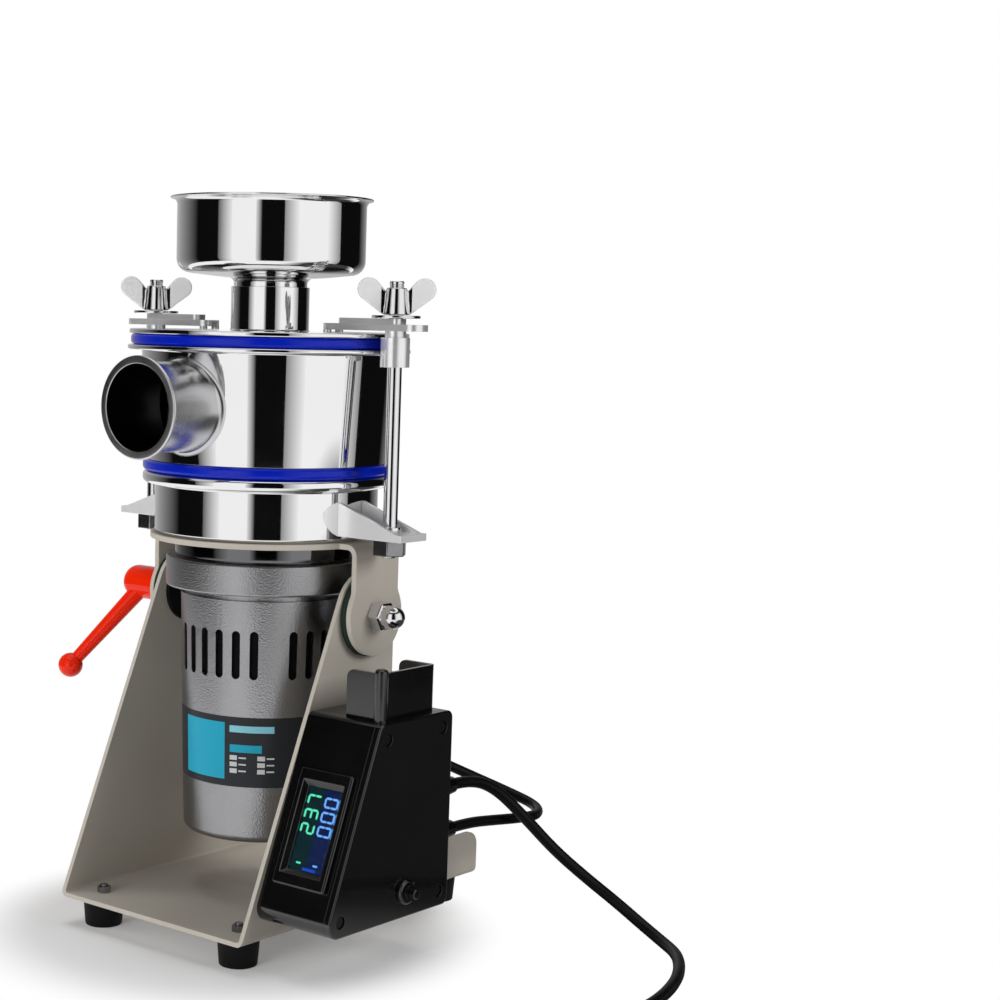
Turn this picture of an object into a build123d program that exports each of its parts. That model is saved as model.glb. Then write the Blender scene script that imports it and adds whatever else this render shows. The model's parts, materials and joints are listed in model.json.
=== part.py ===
from build123d import *
import os
from math import acos, atan2, cos, degrees, hypot, pi, radians, sin, sqrt, tan

# Bench-top powder grinder: a tilting head of hopper, grinding chamber and motor on a bent-sheet stand.
# Millimetres. The origin is on the floor under the chamber's axis, +Z up, the spout towards -Y.

# Clearances
running_clearance = 0.05
slide_clearance = 0.3
flat_clearance = 0.2
fit_clearance = 0.05
thread_overrun = 1.5
match_tolerance = 0.01

# Stand: one bent sheet with a floor and two side plates
base_front = 104.0
base_back = 137.0
base_sheet = 3.0
base_bend = 2.0
plate_top_radius = 28.0
plate_tail_height = 30.5
plate_tail_corner = 10.0
plate_sweep_radius = 60.0
pivot_height = 212.0
pivot_back = 8.0

# Feet and their bolts
foot_height = 18.0
foot_top_radius = 13.5
foot_bottom_radius = 12.0
foot_recess_radius = 6.5
foot_recess_depth = 7.0
foot_side_inset = 20.0
foot_end_inset = 19.0
foot_bolt_radius = 2.5
foot_bolt_head_radius = 5.0
foot_bolt_head_height = 4.0
foot_nut_width = 8.0
foot_nut_height = 4.0

# Tilt pivot: bolts, friction discs, dome nut and locking lever
pivot_radius = 5.0
pivot_washer_radius = 21.5
pivot_washer_thickness = 3.0
pivot_head_width = 17.0
pivot_head_height = 6.0
disc_radius = 26.5
pad_thickness = 1.5
disc_thickness = 2.5
pivot_nut_width = 17.0
pivot_nut_hex = 8.5
pivot_nut_dome_radius = 7.3
pivot_nut_barrel = 5.0
pivot_nut_edge = 0.8
pivot_thread_depth = 11.0
lever_hub_radius = 11.5
lever_hub_length = 45.0
lever_root_share = 0.64
lever_root_radius = 6.2
lever_neck_radius = 4.4
lever_ball_radius = 8.5
lever_reach = 78.0
lever_forward_angle = 35.0
lever_outward_angle = 25.0
lever_hub_round = 9.0

# Yoke: a bent strap with a round seat for the motor and bowl
yoke_sheet = 3.6
yoke_rise = 45.8
yoke_seat_margin = 2.5
yoke_rod_gap = 15.1
yoke_arm_width = 43.0
yoke_eye_radius = 26.0
yoke_eye_blend = 8.0
yoke_bend = 4.0
yoke_bore_radius = 22.0

# Motor
mount_ring_step = 5.5
mount_ring_land = 15.0
mount_ring_height = 11.2
bell_side_gap = 3.2
bell_collar_height = 19.5
bell_neck_step = 12.5
bell_neck_height = 4.5
bell_wall = 3.0
bell_web = 5.0
bell_edge = 1.5
can_step = 10.0
can_taper = 4.0
can_height = 157.0
can_corner = 5.0
can_floor = 4.0
can_wall = 3.0
can_vent_wall = 3.5
can_vent_room = 62.0
vent_length = 31.0
vent_width = 5.5
vent_top_drop = 19.0
vent_groups = 4
vents_per_group = 6
vent_pitch_angle = 12.6
vent_turn = 3.8
intake_inner_margin = 3.5
intake_outer_margin = 6.5
intake_width = 5.0
intake_count = 8
upper_bearing_radius = 17.5
upper_bearing_height = 11.0
lower_bearing_share = 0.337
lower_bearing_height = 10.0
bearing_wall = 3.5
stator_base = 38.0
stator_height = 55.0
stator_bore_share = 0.58
winding_height = 12.0
winding_step = 2.5
winding_gap = 3.5
winding_round = 4.0
brush_width = 12.0
brush_height = 8.0
mount_screw_radius = 2.5
mount_screw_head_radius = 4.5
mount_screw_head_height = 3.0
mount_screw_inset = 14.0
mount_screw_turn = 45.0
mount_screw_depth = 6.0
mount_screw_count = 4

# Rotor
shaft_radius = 7.5
shaft_tail_radius = 6.0
shaft_tip_radius = 5.0
armature_gap = 0.6
armature_slots = 12
armature_slot_width = 4.0
armature_slot_depth = 9.0
armature_overhang = 2.0
commutator_radius = 16.0
commutator_height = 12.0
commutator_lift = 11.0
fan_gap = 7.0
fan_blade_lean = 20.0
fan_disc = 2.5
fan_blade_height = 16.0
fan_blade_thickness = 2.0
fan_hub_radius = 13.0
fan_blades = 11
fan_drop = 19.0
hub_radius = 13.0
hub_lift = 5.0
hub_height = 56.2
blade_tip_gap = 6.0
blade_width = 20.0
blade_thickness = 4.0
blade_bevel = 6.0
rotor_nut_width = 17.0
rotor_nut_height = 8.0

# Lower bowl and the ears that carry the clamp rods
bowl_radius = 72.5
bowl_height = 40.2
bowl_wall = 2.5
bowl_floor = 4.0
bowl_flange_width = 8.0
bowl_flange_height = 8.0
bowl_flange_round = 3.4
bowl_corner = 2.5
shaft_seal_radius = 17.0
shaft_seal_height = 7.0
ear_lift = 4.2
ear_sheet = 4.5
ear_half_width = 13.0
ear_overhang = 18.6
ear_gusset = 3.0
ear_gusset_drop = 7.0
ear_gusset_land = 4.0
rod_stand_off = 11.6
rod_radius = 4.5
rod_shoulder_radius = 7.0
rod_shoulder_height = 3.5
rod_nut_width = 19.0
rod_nut_height = 10.0
rod_top_showing = 4.0

# Chamber, spout, seals, sieve and lid
seal_height = 7.0
seal_round = 2.5
lower_seal_lap = 5.0
upper_seal_setback = 2.0
upper_seal_lap = 8.0
chamber_height = 73.0
chamber_step = 5.5
chamber_flare = 4.0
chamber_wall = 2.5
chamber_flange_width = 9.0
chamber_flange = 3.0
spout_drop = 0.5
spout_length = 37.6
spout_edge_room = 9.9
spout_wall = 1.2
spout_lip_width = 5.0
spout_lip = 2.4
spout_lip_round = 1.1
spout_blend = 3.2
sieve_side_gap = 2.0
sieve_wall = 1.5
sieve_headroom = 2.0
sieve_slots = 30
sieve_slot_width = 4.0
sieve_slot_margin = 21.0
lid_setback = 1.0
lid_thickness = 3.0
lid_bore = 21.9
neck_radius = 25.2
neck_wall = 1.3
neck_height = 28.0

# Hopper
hopper_sheet = 1.2
hopper_band = 5.0
hopper_cone_rise = 4.0
hopper_radius = 60.6
hopper_corner = 6.0
hopper_depth = 51.0
hopper_lip_radius = 65.0
hopper_lip_round = 4.0

# Clamp arms, washers and wing nuts
arm_lift = 2.0
arm_thickness = 4.0
arm_width = 17.0
arm_corner = 7.5
arm_reach = 54.5
arm_tail = 22.0
arm_fork_width = 6.0
arm_fork_inset = 5.0
arm_fork_length = 26.0
toe_radius = 2.6
strap_thickness = 3.5
strap_width = 11.0
strap_corner = 3.6
strap_reach = 42.5
bush_radius = 9.0
bush_drop = 22.0
bush_neck_radius = 6.5
bush_neck_height = 4.0
washer_radius = 15.0
washer_thickness = 2.0
wing_hub_radius = 7.5
wing_hub_top_radius = 6.2
wing_hub_height = 16.5
wing_half_span = 24.0
wing_tip_height = 22.5
wing_tip_radius = 7.0
wing_root_radius = 5.5
wing_root_lift = 5.5
wing_thickness = 3.0
wing_angle = 41.0

# Control box on the right side plate
box_width = 57.3
box_bottom = 32.0
box_front_inset = 8.5
box_depth = 121.0
box_lean = 21.5
box_corner = 5.0
box_chin = 9.0
box_wall = 2.5
cover_thickness = 4.5
cover_edge = 1.2
cover_screw_inset = 10.0
cover_screw_radius = 1.5
cover_screw_head_radius = 3.2
cover_screw_head_height = 2.0
cover_screw_sink_radius = 4.0
cover_screw_sink = 2.8
cover_screw_length = 12.0
cover_boss_radius = 4.0
box_screw_radius = 2.0
box_screw_head_radius = 4.0
box_screw_head_height = 2.5
box_screw_boss_radius = 4.5
box_screw_boss_height = 7.0
box_screw_front = 75.0
box_screw_rear = 28.0
box_screw_low = 26.0
box_screw_high = 28.0

# Meter set into the box's sloping front
meter_width = 40.5
meter_height = 72.3
meter_proud = 3.5
meter_edge = 1.0
meter_slope_share = 0.05
meter_body_width = 36.0
meter_body_height = 66.0
meter_body_depth = 16.0
meter_mouth_width = 32.0
meter_mouth_height = 58.5
meter_window_width = 25.5
meter_window_height = 51.0
meter_mouth_depth = 3.0
meter_window_thickness = 1.5
meter_board_thickness = 1.5

# Switch in its turret on the box's top
turret_width = 27.0
turret_length = 54.0
turret_height = 29.0
turret_drop = 26.5
turret_wall = 2.5
turret_corner = 3.5
turret_rib_radius = 4.2
turret_rib_rise = 3.0
turret_rib_round = 2.6
turret_end_round = 5.0
turret_gap_side = 7.0
turret_gap_back = 10.3
switch_length = 32.0
switch_width = 18.0
switch_flange = 3.0
switch_body_length = 24.5
switch_body_width = 14.5
switch_body_depth = 20.0
rocker_length = 18.5
rocker_width = 10.0
rocker_crown = 5.0
rocker_valley = 3.5
rocker_belly = 5.0
rocker_foot_share = 0.8
rocker_side_share = 0.6
rocker_axis_drop = 2.0
rocker_pin_radius = 1.2
rocker_tilt = 7.0
rocker_room = 1.2

# Overload breaker with its reset button
breaker_forward = 45.0
breaker_height = 16.8
breaker_size = 26.0
breaker_depth = 24.0
breaker_neck_radius = 5.0
breaker_nut_radius = 8.0
breaker_nut_height = 3.5
breaker_nut_edge = 1.0
breaker_neck_proud = 5.5
button_radius = 3.2
button_proud = 4.5
button_edge = 0.8
button_stem = 10.0
button_travel = 3.0

# Cords
mains_cord_radius = 3.75
lead_radius = 3.5
gland_flange_radius = 9.0
gland_flange = 4.0
gland_neck_radius = 7.2
gland_tip_radius = 5.4
gland_length = 20.0
gland_inset = 9.5
mains_gland_height = 71.0
lead_gland_height = 42.5
grommet_angle = 65.0
grommet_height = 53.0
grommet_radius = 7.5
grommet_tip_radius = 5.2
grommet_length = 9.0
grommet_shoulder = 3.0
lead_straight = 20.0
mains_straight = 22.0
cord_arc_share = 0.45
coil_side = 215.0
coil_forward = 97.5
coil_outer_radius = 49.0
coil_pitch = 9.4
coil_rise = 8.5
coil_layer_half_turns = 4
coil_tail = 30.0
coil_samples = 900
plug_length = 36.0
plug_nose_width = 32.0
plug_tail_width = 16.0
plug_corner = 5.0
pin_radius = 2.4
pin_length = 19.0
pin_spacing = 19.0

# Cord routes: the lead's points lie from the gland's tip, then from the motor's grommet; the mains cord's
# points lie across and back from the gland's tip, with a share of its height above the floor
lead_from_box = ((1.5, 44.5, -2.5), (4.5, 69.5, -5.0), (4.0, 95.5, -7.5), (-11.0, 115.5, -7.0))
lead_to_motor = ((62.3, 105.9, -42.0), (41.3, 85.9, -29.5), (23.8, 52.9, -12.0))
mains_route = (
    (5.5, 42.5, 0.909),
    (17.0, 59.5, 0.708),
    (30.5, 75.0, 0.486),
    (47.0, 88.5, 0.305),
    (67.0, 96.0, 0.159),
    (88.5, 95.0, 0.048),
    (109.0, 86.0, 0.0),
    (127.0, 71.5, 0.0),
    (141.0, 51.5, 0.0),
    (152.0, 29.5, 0.0),
    (160.0, 5.5, 0.0),
    (165.0, -20.5, 0.0),
    (166.5, -47.5, 0.0),
)

# Heights and places that follow from the sizes above
floor_bottom = foot_height
floor_top = floor_bottom + base_sheet
bowl_flange_radius = bowl_radius + bowl_flange_width
lower_seal_radius = bowl_flange_radius
lower_seal_bore = bowl_radius - lower_seal_lap
chamber_bottom_radius = bowl_radius + chamber_step
chamber_top_radius = chamber_bottom_radius + chamber_flare
chamber_flange_radius = chamber_top_radius + chamber_flange_width
upper_seal_radius = chamber_flange_radius - upper_seal_setback
upper_seal_bore = chamber_top_radius - upper_seal_lap
lid_radius = chamber_flange_radius - lid_setback
sieve_radius = lower_seal_bore - sieve_side_gap
blade_reach = sieve_radius - sieve_wall - blade_tip_gap
spout_height = chamber_height / 2 - spout_drop
spout_bore_radius = chamber_height / 2 - spout_edge_room
spout_lip_radius = spout_bore_radius + spout_lip_width
spout_reach = chamber_top_radius + spout_length
sieve_slot_length = chamber_height - sieve_slot_margin
yoke_seat_radius = bowl_radius + yoke_seat_margin
rod_offset = chamber_flange_radius + rod_stand_off
arm_outer = rod_offset - yoke_rod_gap
arm_inner = arm_outer - yoke_sheet
base_half_width = arm_inner - flat_clearance - disc_thickness - pad_thickness
plate_inner = base_half_width - base_sheet
bell_radius = plate_inner - pivot_washer_thickness - pivot_head_height - bell_side_gap
mount_ring_radius = bell_radius - mount_ring_step
mount_screw_circle = mount_ring_radius - mount_screw_inset
mount_ring_bore = mount_screw_circle - mount_ring_land
bell_neck_radius = bell_radius - bell_neck_step
can_top_radius = bell_radius - can_step
can_bottom_radius = can_top_radius - can_taper
can_bore_radius = can_bottom_radius - can_wall
can_vent_bore_radius = can_top_radius - can_vent_wall
fan_radius = can_vent_bore_radius - fan_gap
lower_bearing_radius = can_bore_radius * lower_bearing_share
intake_inner = lower_bearing_radius + bearing_wall + intake_inner_margin
intake_outer = can_bore_radius - intake_outer_margin
stator_bore = can_bore_radius * stator_bore_share
winding_inner = stator_bore + winding_step
winding_outer = can_bore_radius - winding_gap
yoke_top = pivot_height + yoke_rise
yoke_under = yoke_top - yoke_sheet
ring_bottom = yoke_under - mount_ring_height
collar_bottom = ring_bottom - bell_collar_height
can_top = collar_bottom - bell_neck_height
can_bottom = can_top - can_height
bowl_bed = yoke_top + bowl_floor
bowl_top = yoke_top + bowl_height
chamber_bottom = bowl_top + seal_height
chamber_top = chamber_bottom + chamber_height
lid_bottom = chamber_top + seal_height
lid_top = lid_bottom + lid_thickness
neck_top = lid_top + neck_height
spout_axis_height = chamber_bottom + spout_height
ear_bottom = yoke_top + ear_lift
ear_top = ear_bottom + ear_sheet
ear_gusset_rise = bowl_top - bowl_flange_height - ear_gusset_drop - ear_top
arm_bottom = lid_top + arm_lift
arm_top = arm_bottom + arm_thickness
strap_top = arm_top + strap_thickness
washer_top = strap_top + washer_thickness
nut_base = washer_top + flat_clearance
rod_top = nut_base + wing_hub_height + rod_top_showing
rod_bottom = ear_bottom - rod_nut_height - thread_overrun
stator_bottom = can_bottom + stator_base
stator_top = stator_bottom + stator_height
bearing_top = ring_bottom - bell_web
lower_seat = can_bottom + can_floor
hub_bottom = bowl_bed + hub_lift
hub_top = hub_bottom + hub_height
blades_top = hub_top + 2 * blade_thickness
shaft_top = blades_top + rotor_nut_height + thread_overrun
box_left = base_half_width
cover_inner = base_half_width + box_width - cover_thickness
box_right = base_half_width + box_width
box_top = pivot_height - turret_drop - turret_height
box_height = box_top - box_bottom
box_front = base_front - box_front_inset
box_back = box_depth - box_front
box_front_top = -box_front + box_height * tan(radians(box_lean))
sides = (-1, 1)

os.makedirs("parts", exist_ok=True)


def save(part, name):
    """Label a finished piece and write it under its own name."""
    part.label = name
    export_step(part, f"parts/{name}.step")


def ring(outer, inner, z, height):
    """Plain ring about the chamber's axis, standing at height z."""
    with BuildPart() as piece:
        with BuildSketch(Plane.XY.offset(z)):
            Circle(outer)
            Circle(inner, mode=Mode.SUBTRACT)
        extrude(amount=height)
    return piece.part


def along_x(x, y, z):
    """Plane facing +X at a point, its own axes along Y and Z."""
    return Plane(origin=(x, y, z), x_dir=(0, 1, 0), z_dir=(1, 0, 0))


# Stand
foot_places = [
    (side * (base_half_width - foot_side_inset), y)
    for side in sides
    for y in (-base_front + foot_end_inset, base_back - foot_end_inset)
]
box_screw_places = [
    (box_back - box_screw_front, box_bottom + box_screw_low),
    (box_back - box_screw_rear, box_bottom + box_screw_low),
    (box_back - box_screw_rear, box_top - box_screw_high),
]
pivot_run = base_front + pivot_back
reach_to_pivot = hypot(pivot_run, pivot_height - floor_top)
tangent_angle = atan2(floor_top - pivot_height, -pivot_run) - acos(plate_top_radius / reach_to_pivot)
tangent_point = (
    pivot_back + plate_top_radius * cos(tangent_angle),
    pivot_height + plate_top_radius * sin(tangent_angle),
)
tail_top = floor_bottom + plate_tail_height
crown_sweep = degrees(tangent_angle) % 360
plate_rear = pivot_back + plate_top_radius

with BuildPart() as base_frame:
    with BuildSketch(Plane.XZ.offset(base_front)):
        with Locations((0, floor_bottom)):
            Rectangle(
                2 * base_half_width,
                pivot_height + plate_top_radius - floor_bottom,
                align=(Align.CENTER, Align.MIN),
            )
        with Locations((0, floor_top)):
            Rectangle(
                2 * plate_inner,
                pivot_height + plate_top_radius - floor_top,
                align=(Align.CENTER, Align.MIN),
                mode=Mode.SUBTRACT,
            )
    extrude(amount=-(base_front + base_back))
    fillet(base_frame.edges().filter_by(Axis.Y).group_by(Axis.Z)[1], base_bend)
    fillet(base_frame.edges().filter_by(Axis.Y).group_by(Axis.Z)[0], base_sheet + base_bend)
    with BuildSketch(Plane.YZ.offset(-base_half_width)):
        with BuildLine():
            Line((-base_front, floor_bottom), (-base_front, floor_top))
            Line((-base_front, floor_top), tangent_point)
            CenterArc((pivot_back, pivot_height), plate_top_radius, 0, crown_sweep)
            Line((plate_rear, pivot_height), (plate_rear, tail_top + plate_sweep_radius))
            CenterArc(
                (plate_rear + plate_sweep_radius, tail_top + plate_sweep_radius),
                plate_sweep_radius,
                180,
                90,
            )
            Line((plate_rear + plate_sweep_radius, tail_top), (base_back - plate_tail_corner, tail_top))
            CenterArc(
                (base_back - plate_tail_corner, tail_top - plate_tail_corner),
                plate_tail_corner,
                0,
                90,
            )
            Line((base_back, tail_top - plate_tail_corner), (base_back, floor_bottom))
            Line((base_back, floor_bottom), (-base_front, floor_bottom))
        make_face()
    extrude(amount=2 * base_half_width, mode=Mode.INTERSECT)
    with BuildSketch(Plane.XY.offset(floor_bottom)):
        with Locations(*foot_places):
            Circle(foot_bolt_radius + fit_clearance)
    extrude(amount=base_sheet, mode=Mode.SUBTRACT)
    with BuildSketch(Plane.YZ.offset(-base_half_width)):
        with Locations((pivot_back, pivot_height)):
            Circle(pivot_radius + fit_clearance)
    extrude(amount=2 * base_half_width, mode=Mode.SUBTRACT)
    with BuildSketch(Plane.YZ.offset(plate_inner)):
        with Locations(*box_screw_places):
            Circle(box_screw_radius + fit_clearance)
    extrude(amount=base_sheet, mode=Mode.SUBTRACT)
save(base_frame.part, "base_frame")

with BuildPart() as rubber_feet:
    with Locations(*[(x, y, 0) for x, y in foot_places]):
        Cone(foot_bottom_radius, foot_top_radius, foot_height, align=(Align.CENTER, Align.CENTER, Align.MIN))
    with BuildSketch(Plane.XY):
        with Locations(*foot_places):
            Circle(foot_recess_radius)
    extrude(amount=foot_recess_depth, mode=Mode.SUBTRACT)
    with BuildSketch(Plane.XY):
        with Locations(*foot_places):
            Circle(foot_bolt_radius + fit_clearance)
    extrude(amount=foot_height, mode=Mode.SUBTRACT)
save(rubber_feet.part, "rubber_feet")

with BuildPart() as foot_bolts:
    with BuildSketch(Plane.XY.offset(foot_recess_depth - foot_bolt_head_height)):
        with Locations(*foot_places):
            Circle(foot_bolt_head_radius)
    extrude(amount=foot_bolt_head_height)
    with BuildSketch(Plane.XY.offset(foot_recess_depth)):
        with Locations(*foot_places):
            Circle(foot_bolt_radius)
    extrude(amount=floor_top + foot_nut_height + thread_overrun - foot_recess_depth)
save(foot_bolts.part, "foot_bolts")

with BuildPart() as foot_nuts:
    with BuildSketch(Plane.XY.offset(floor_top)):
        with Locations(*foot_places):
            RegularPolygon(foot_nut_width / 2, 6, major_radius=False)
            Circle(foot_bolt_radius + fit_clearance, mode=Mode.SUBTRACT)
    extrude(amount=foot_nut_height)
save(foot_nuts.part, "foot_nuts")

# Tilt pivot
right_bolt_end = arm_outer + flat_clearance + pivot_thread_depth
washer_inner = plate_inner - pivot_washer_thickness

with BuildPart() as pivot_bolts:
    for side in sides:
        with BuildSketch(along_x(side * (washer_inner - pivot_head_height), pivot_back, pivot_height)):
            RegularPolygon(pivot_head_width / 2, 6, major_radius=False)
        extrude(amount=side * pivot_head_height)
        with BuildSketch(along_x(side * washer_inner, pivot_back, pivot_height)):
            Circle(pivot_radius)
        extrude(amount=side * (right_bolt_end - washer_inner))
save(pivot_bolts.part, "pivot_bolts")


def pivot_rings(outer, x, thickness):
    """A ring on each pivot bolt, from a distance x outward."""
    with BuildPart() as piece:
        for side in sides:
            with BuildSketch(along_x(side * x, pivot_back, pivot_height)):
                Circle(outer)
                Circle(pivot_radius + fit_clearance, mode=Mode.SUBTRACT)
            extrude(amount=side * thickness)
    return piece.part


save(pivot_rings(pivot_washer_radius, washer_inner, pivot_washer_thickness), "pivot_inner_washers")
save(pivot_rings(disc_radius, base_half_width, pad_thickness), "friction_pads")
save(pivot_rings(disc_radius, base_half_width + pad_thickness, disc_thickness), "friction_discs")

dome_base = arm_outer + flat_clearance + pivot_nut_hex + pivot_nut_barrel

with BuildPart() as pivot_nut:
    with BuildSketch(along_x(arm_outer + flat_clearance, pivot_back, pivot_height)):
        RegularPolygon(pivot_nut_width / 2, 6, major_radius=False)
    extrude(amount=pivot_nut_hex)
    chamfer(pivot_nut.faces().sort_by(Axis.X)[-1].edges(), pivot_nut_edge)
    with BuildSketch(along_x(arm_outer + flat_clearance + pivot_nut_hex, pivot_back, pivot_height)):
        Circle(pivot_nut_dome_radius)
    extrude(amount=pivot_nut_barrel)
    with Locations((dome_base, pivot_back, pivot_height)):
        Sphere(pivot_nut_dome_radius)
    with BuildSketch(along_x(arm_outer + flat_clearance, pivot_back, pivot_height)):
        Circle(pivot_radius + fit_clearance)
    extrude(amount=pivot_thread_depth, mode=Mode.SUBTRACT)
save(pivot_nut.part, "pivot_nut")

lever_base = -(arm_outer + flat_clearance)
lever_root = Vector(lever_base - lever_hub_length * lever_root_share, pivot_back, pivot_height)
lever_direction = Vector(
    -sin(radians(lever_outward_angle)),
    -cos(radians(lever_outward_angle)) * sin(radians(lever_forward_angle)),
    -cos(radians(lever_outward_angle)) * cos(radians(lever_forward_angle)),
)
lever_neck_place = lever_reach - sqrt(lever_ball_radius**2 - lever_neck_radius**2)

with BuildPart() as lock_lever:
    with BuildSketch(along_x(lever_base, pivot_back, pivot_height)):
        Circle(lever_hub_radius)
    extrude(amount=-lever_hub_length)
    fillet(lock_lever.faces().sort_by(Axis.X)[0].edges(), lever_hub_round)
    with BuildSketch(
        Plane(origin=lever_root, x_dir=lever_direction, z_dir=Vector(0, 0, 1).cross(lever_direction))
    ):
        with BuildLine():
            Polyline((lever_neck_place, lever_neck_radius), (0, lever_root_radius), (0, 0))
            Line((0, 0), (lever_reach + lever_ball_radius, 0))
            ThreePointArc(
                (lever_reach + lever_ball_radius, 0),
                (lever_reach, lever_ball_radius),
                (lever_neck_place, lever_neck_radius),
            )
        make_face()
    revolve(axis=Axis(lever_root, lever_direction))
    with BuildSketch(along_x(lever_base, pivot_back, pivot_height)):
        Circle(pivot_radius + running_clearance)
    extrude(amount=-pivot_thread_depth, mode=Mode.SUBTRACT)
save(lock_lever.part, "lock_lever")

# Yoke
strap_half = arm_outer - yoke_sheet - yoke_bend

with BuildPart() as yoke:
    with BuildSketch(Plane.XY.offset(yoke_under)):
        Circle(yoke_seat_radius)
        with Locations((0, pivot_back)):
            Rectangle(2 * strap_half, yoke_arm_width)
    extrude(amount=yoke_sheet)
    for side in sides:
        with BuildSketch(Plane.XZ.offset(-pivot_back - yoke_arm_width / 2)):
            with Locations((side * strap_half, yoke_under - yoke_bend)):
                Circle(yoke_bend + yoke_sheet)
                Circle(yoke_bend, mode=Mode.SUBTRACT)
            with Locations((side * strap_half, yoke_under - yoke_bend)):
                Rectangle(
                    yoke_bend + yoke_sheet,
                    yoke_bend + yoke_sheet,
                    align=(Align.MIN if side > 0 else Align.MAX, Align.MIN),
                    mode=Mode.INTERSECT,
                )
        extrude(amount=yoke_arm_width)
        with BuildSketch(along_x(side * arm_inner, pivot_back, pivot_height)) as arm_outline:
            Rectangle(yoke_arm_width, yoke_rise - yoke_sheet - yoke_bend, align=(Align.CENTER, Align.MIN))
            Circle(yoke_eye_radius)
            fillet(arm_outline.vertices().group_by(Axis.Y)[-2], yoke_eye_blend)
        extrude(amount=side * yoke_sheet)
    with BuildSketch(Plane.XY.offset(yoke_under)):
        Circle(yoke_bore_radius)
        with PolarLocations(mount_screw_circle, mount_screw_count, start_angle=mount_screw_turn):
            Circle(mount_screw_radius + fit_clearance)
    extrude(amount=yoke_sheet, mode=Mode.SUBTRACT)
    with BuildSketch(along_x(-arm_outer, pivot_back, pivot_height)):
        Circle(pivot_radius + running_clearance)
    extrude(amount=2 * arm_outer, mode=Mode.SUBTRACT)
save(yoke.part, "yoke")

# Motor housing
with BuildPart() as motor_mount_ring:
    with BuildSketch(Plane.XY.offset(ring_bottom)):
        Circle(mount_ring_radius)
        Circle(mount_ring_bore, mode=Mode.SUBTRACT)
        with PolarLocations(mount_screw_circle, mount_screw_count, start_angle=mount_screw_turn):
            Circle(mount_screw_radius + fit_clearance, mode=Mode.SUBTRACT)
    extrude(amount=mount_ring_height)
save(motor_mount_ring.part, "motor_mount_ring")

bell_cavity = bell_neck_radius - bell_wall
bearing_seat = upper_bearing_radius + fit_clearance

with BuildPart() as motor_end_bell:
    with BuildSketch(Plane.XZ):
        with BuildLine():
            Polyline(
                (shaft_radius + slide_clearance, ring_bottom),
                (bell_radius, ring_bottom),
                (bell_radius, collar_bottom),
                (bell_neck_radius, collar_bottom),
                (bell_neck_radius, can_top),
                (bell_cavity, can_top),
                (bell_cavity, bearing_top),
                (bearing_seat + bearing_wall, bearing_top),
                (bearing_seat + bearing_wall, bearing_top - upper_bearing_height),
                (bearing_seat, bearing_top - upper_bearing_height),
                (bearing_seat, bearing_top),
                (shaft_radius + slide_clearance, bearing_top),
                close=True,
            )
        make_face()
    revolve(axis=Axis.Z)
    collar_edges = motor_end_bell.edges().filter_by(GeomType.CIRCLE).filter_by(
        lambda edge: abs(edge.radius - bell_radius) < match_tolerance
    )
    fillet(collar_edges, bell_edge)
save(motor_end_bell.part, "motor_end_bell")

lower_bearing_seat = lower_bearing_radius + fit_clearance
vent_centre = can_top - vent_top_drop - vent_length / 2
vent_angles = [
    vent_turn + group * 360 / vent_groups + (vent - (vents_per_group - 1) / 2) * vent_pitch_angle
    for group in range(vent_groups)
    for vent in range(vents_per_group)
]
vent_planes = [
    Plane(
        origin=(0, 0, vent_centre),
        x_dir=(-sin(radians(angle)), cos(radians(angle)), 0),
        z_dir=(cos(radians(angle)), sin(radians(angle)), 0),
    )
    for angle in vent_angles
]
grommet_out = Vector(cos(radians(grommet_angle)), sin(radians(grommet_angle)), 0)
grommet_level = can_bottom + grommet_height

with BuildPart() as motor_can:
    with BuildSketch(Plane.XZ) as can_profile:
        with BuildLine():
            Polyline(
                (0, can_bottom),
                (can_bottom_radius, can_bottom),
                (can_top_radius, can_top),
                (can_vent_bore_radius, can_top),
                (can_vent_bore_radius, can_top - can_vent_room),
                (can_bore_radius, can_top - can_vent_room),
                (can_bore_radius, lower_seat),
                (lower_bearing_seat + bearing_wall, lower_seat),
                (lower_bearing_seat + bearing_wall, lower_seat + lower_bearing_height),
                (lower_bearing_seat, lower_seat + lower_bearing_height),
                (lower_bearing_seat, lower_seat),
                (0, lower_seat),
                close=True,
            )
        make_face()
        outer_corners = can_profile.vertices().filter_by(lambda corner: corner.X > can_bore_radius)
        fillet(outer_corners.sort_by(Axis.Y)[0], can_corner)
    revolve(axis=Axis.Z)
    with BuildSketch(*vent_planes):
        SlotOverall(vent_length, vent_width, rotation=90)
    extrude(amount=can_top_radius, mode=Mode.SUBTRACT)
    with BuildSketch(Plane.XY.offset(can_bottom)):
        with PolarLocations((intake_inner + intake_outer) / 2, intake_count):
            SlotOverall(intake_outer - intake_inner, intake_width)
    extrude(amount=can_floor, mode=Mode.SUBTRACT)
    with BuildSketch(Plane(origin=(0, 0, grommet_level), z_dir=grommet_out)):
        Circle(grommet_tip_radius)
    extrude(amount=can_top_radius, mode=Mode.SUBTRACT)
save(motor_can.part, "motor_can")

grommet_seat = can_bottom_radius + (can_top_radius - can_bottom_radius) * grommet_height / can_height
grommet_end = grommet_seat + grommet_length

with BuildPart() as lead_grommet:
    with BuildSketch(Plane(origin=(0, 0, grommet_level), x_dir=grommet_out, z_dir=(0, 0, 1))):
        with BuildLine():
            Polyline(
                (can_bore_radius, 0),
                (can_bore_radius, grommet_tip_radius - fit_clearance),
                (grommet_seat + slide_clearance, grommet_tip_radius - fit_clearance),
                (grommet_seat + slide_clearance, grommet_radius),
                (grommet_seat + grommet_shoulder, grommet_radius),
                (grommet_end, grommet_tip_radius),
                (grommet_end, 0),
                close=True,
            )
        make_face()
    revolve(axis=Axis((0, 0, grommet_level), grommet_out))
save(lead_grommet.part, "lead_grommet")

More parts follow.
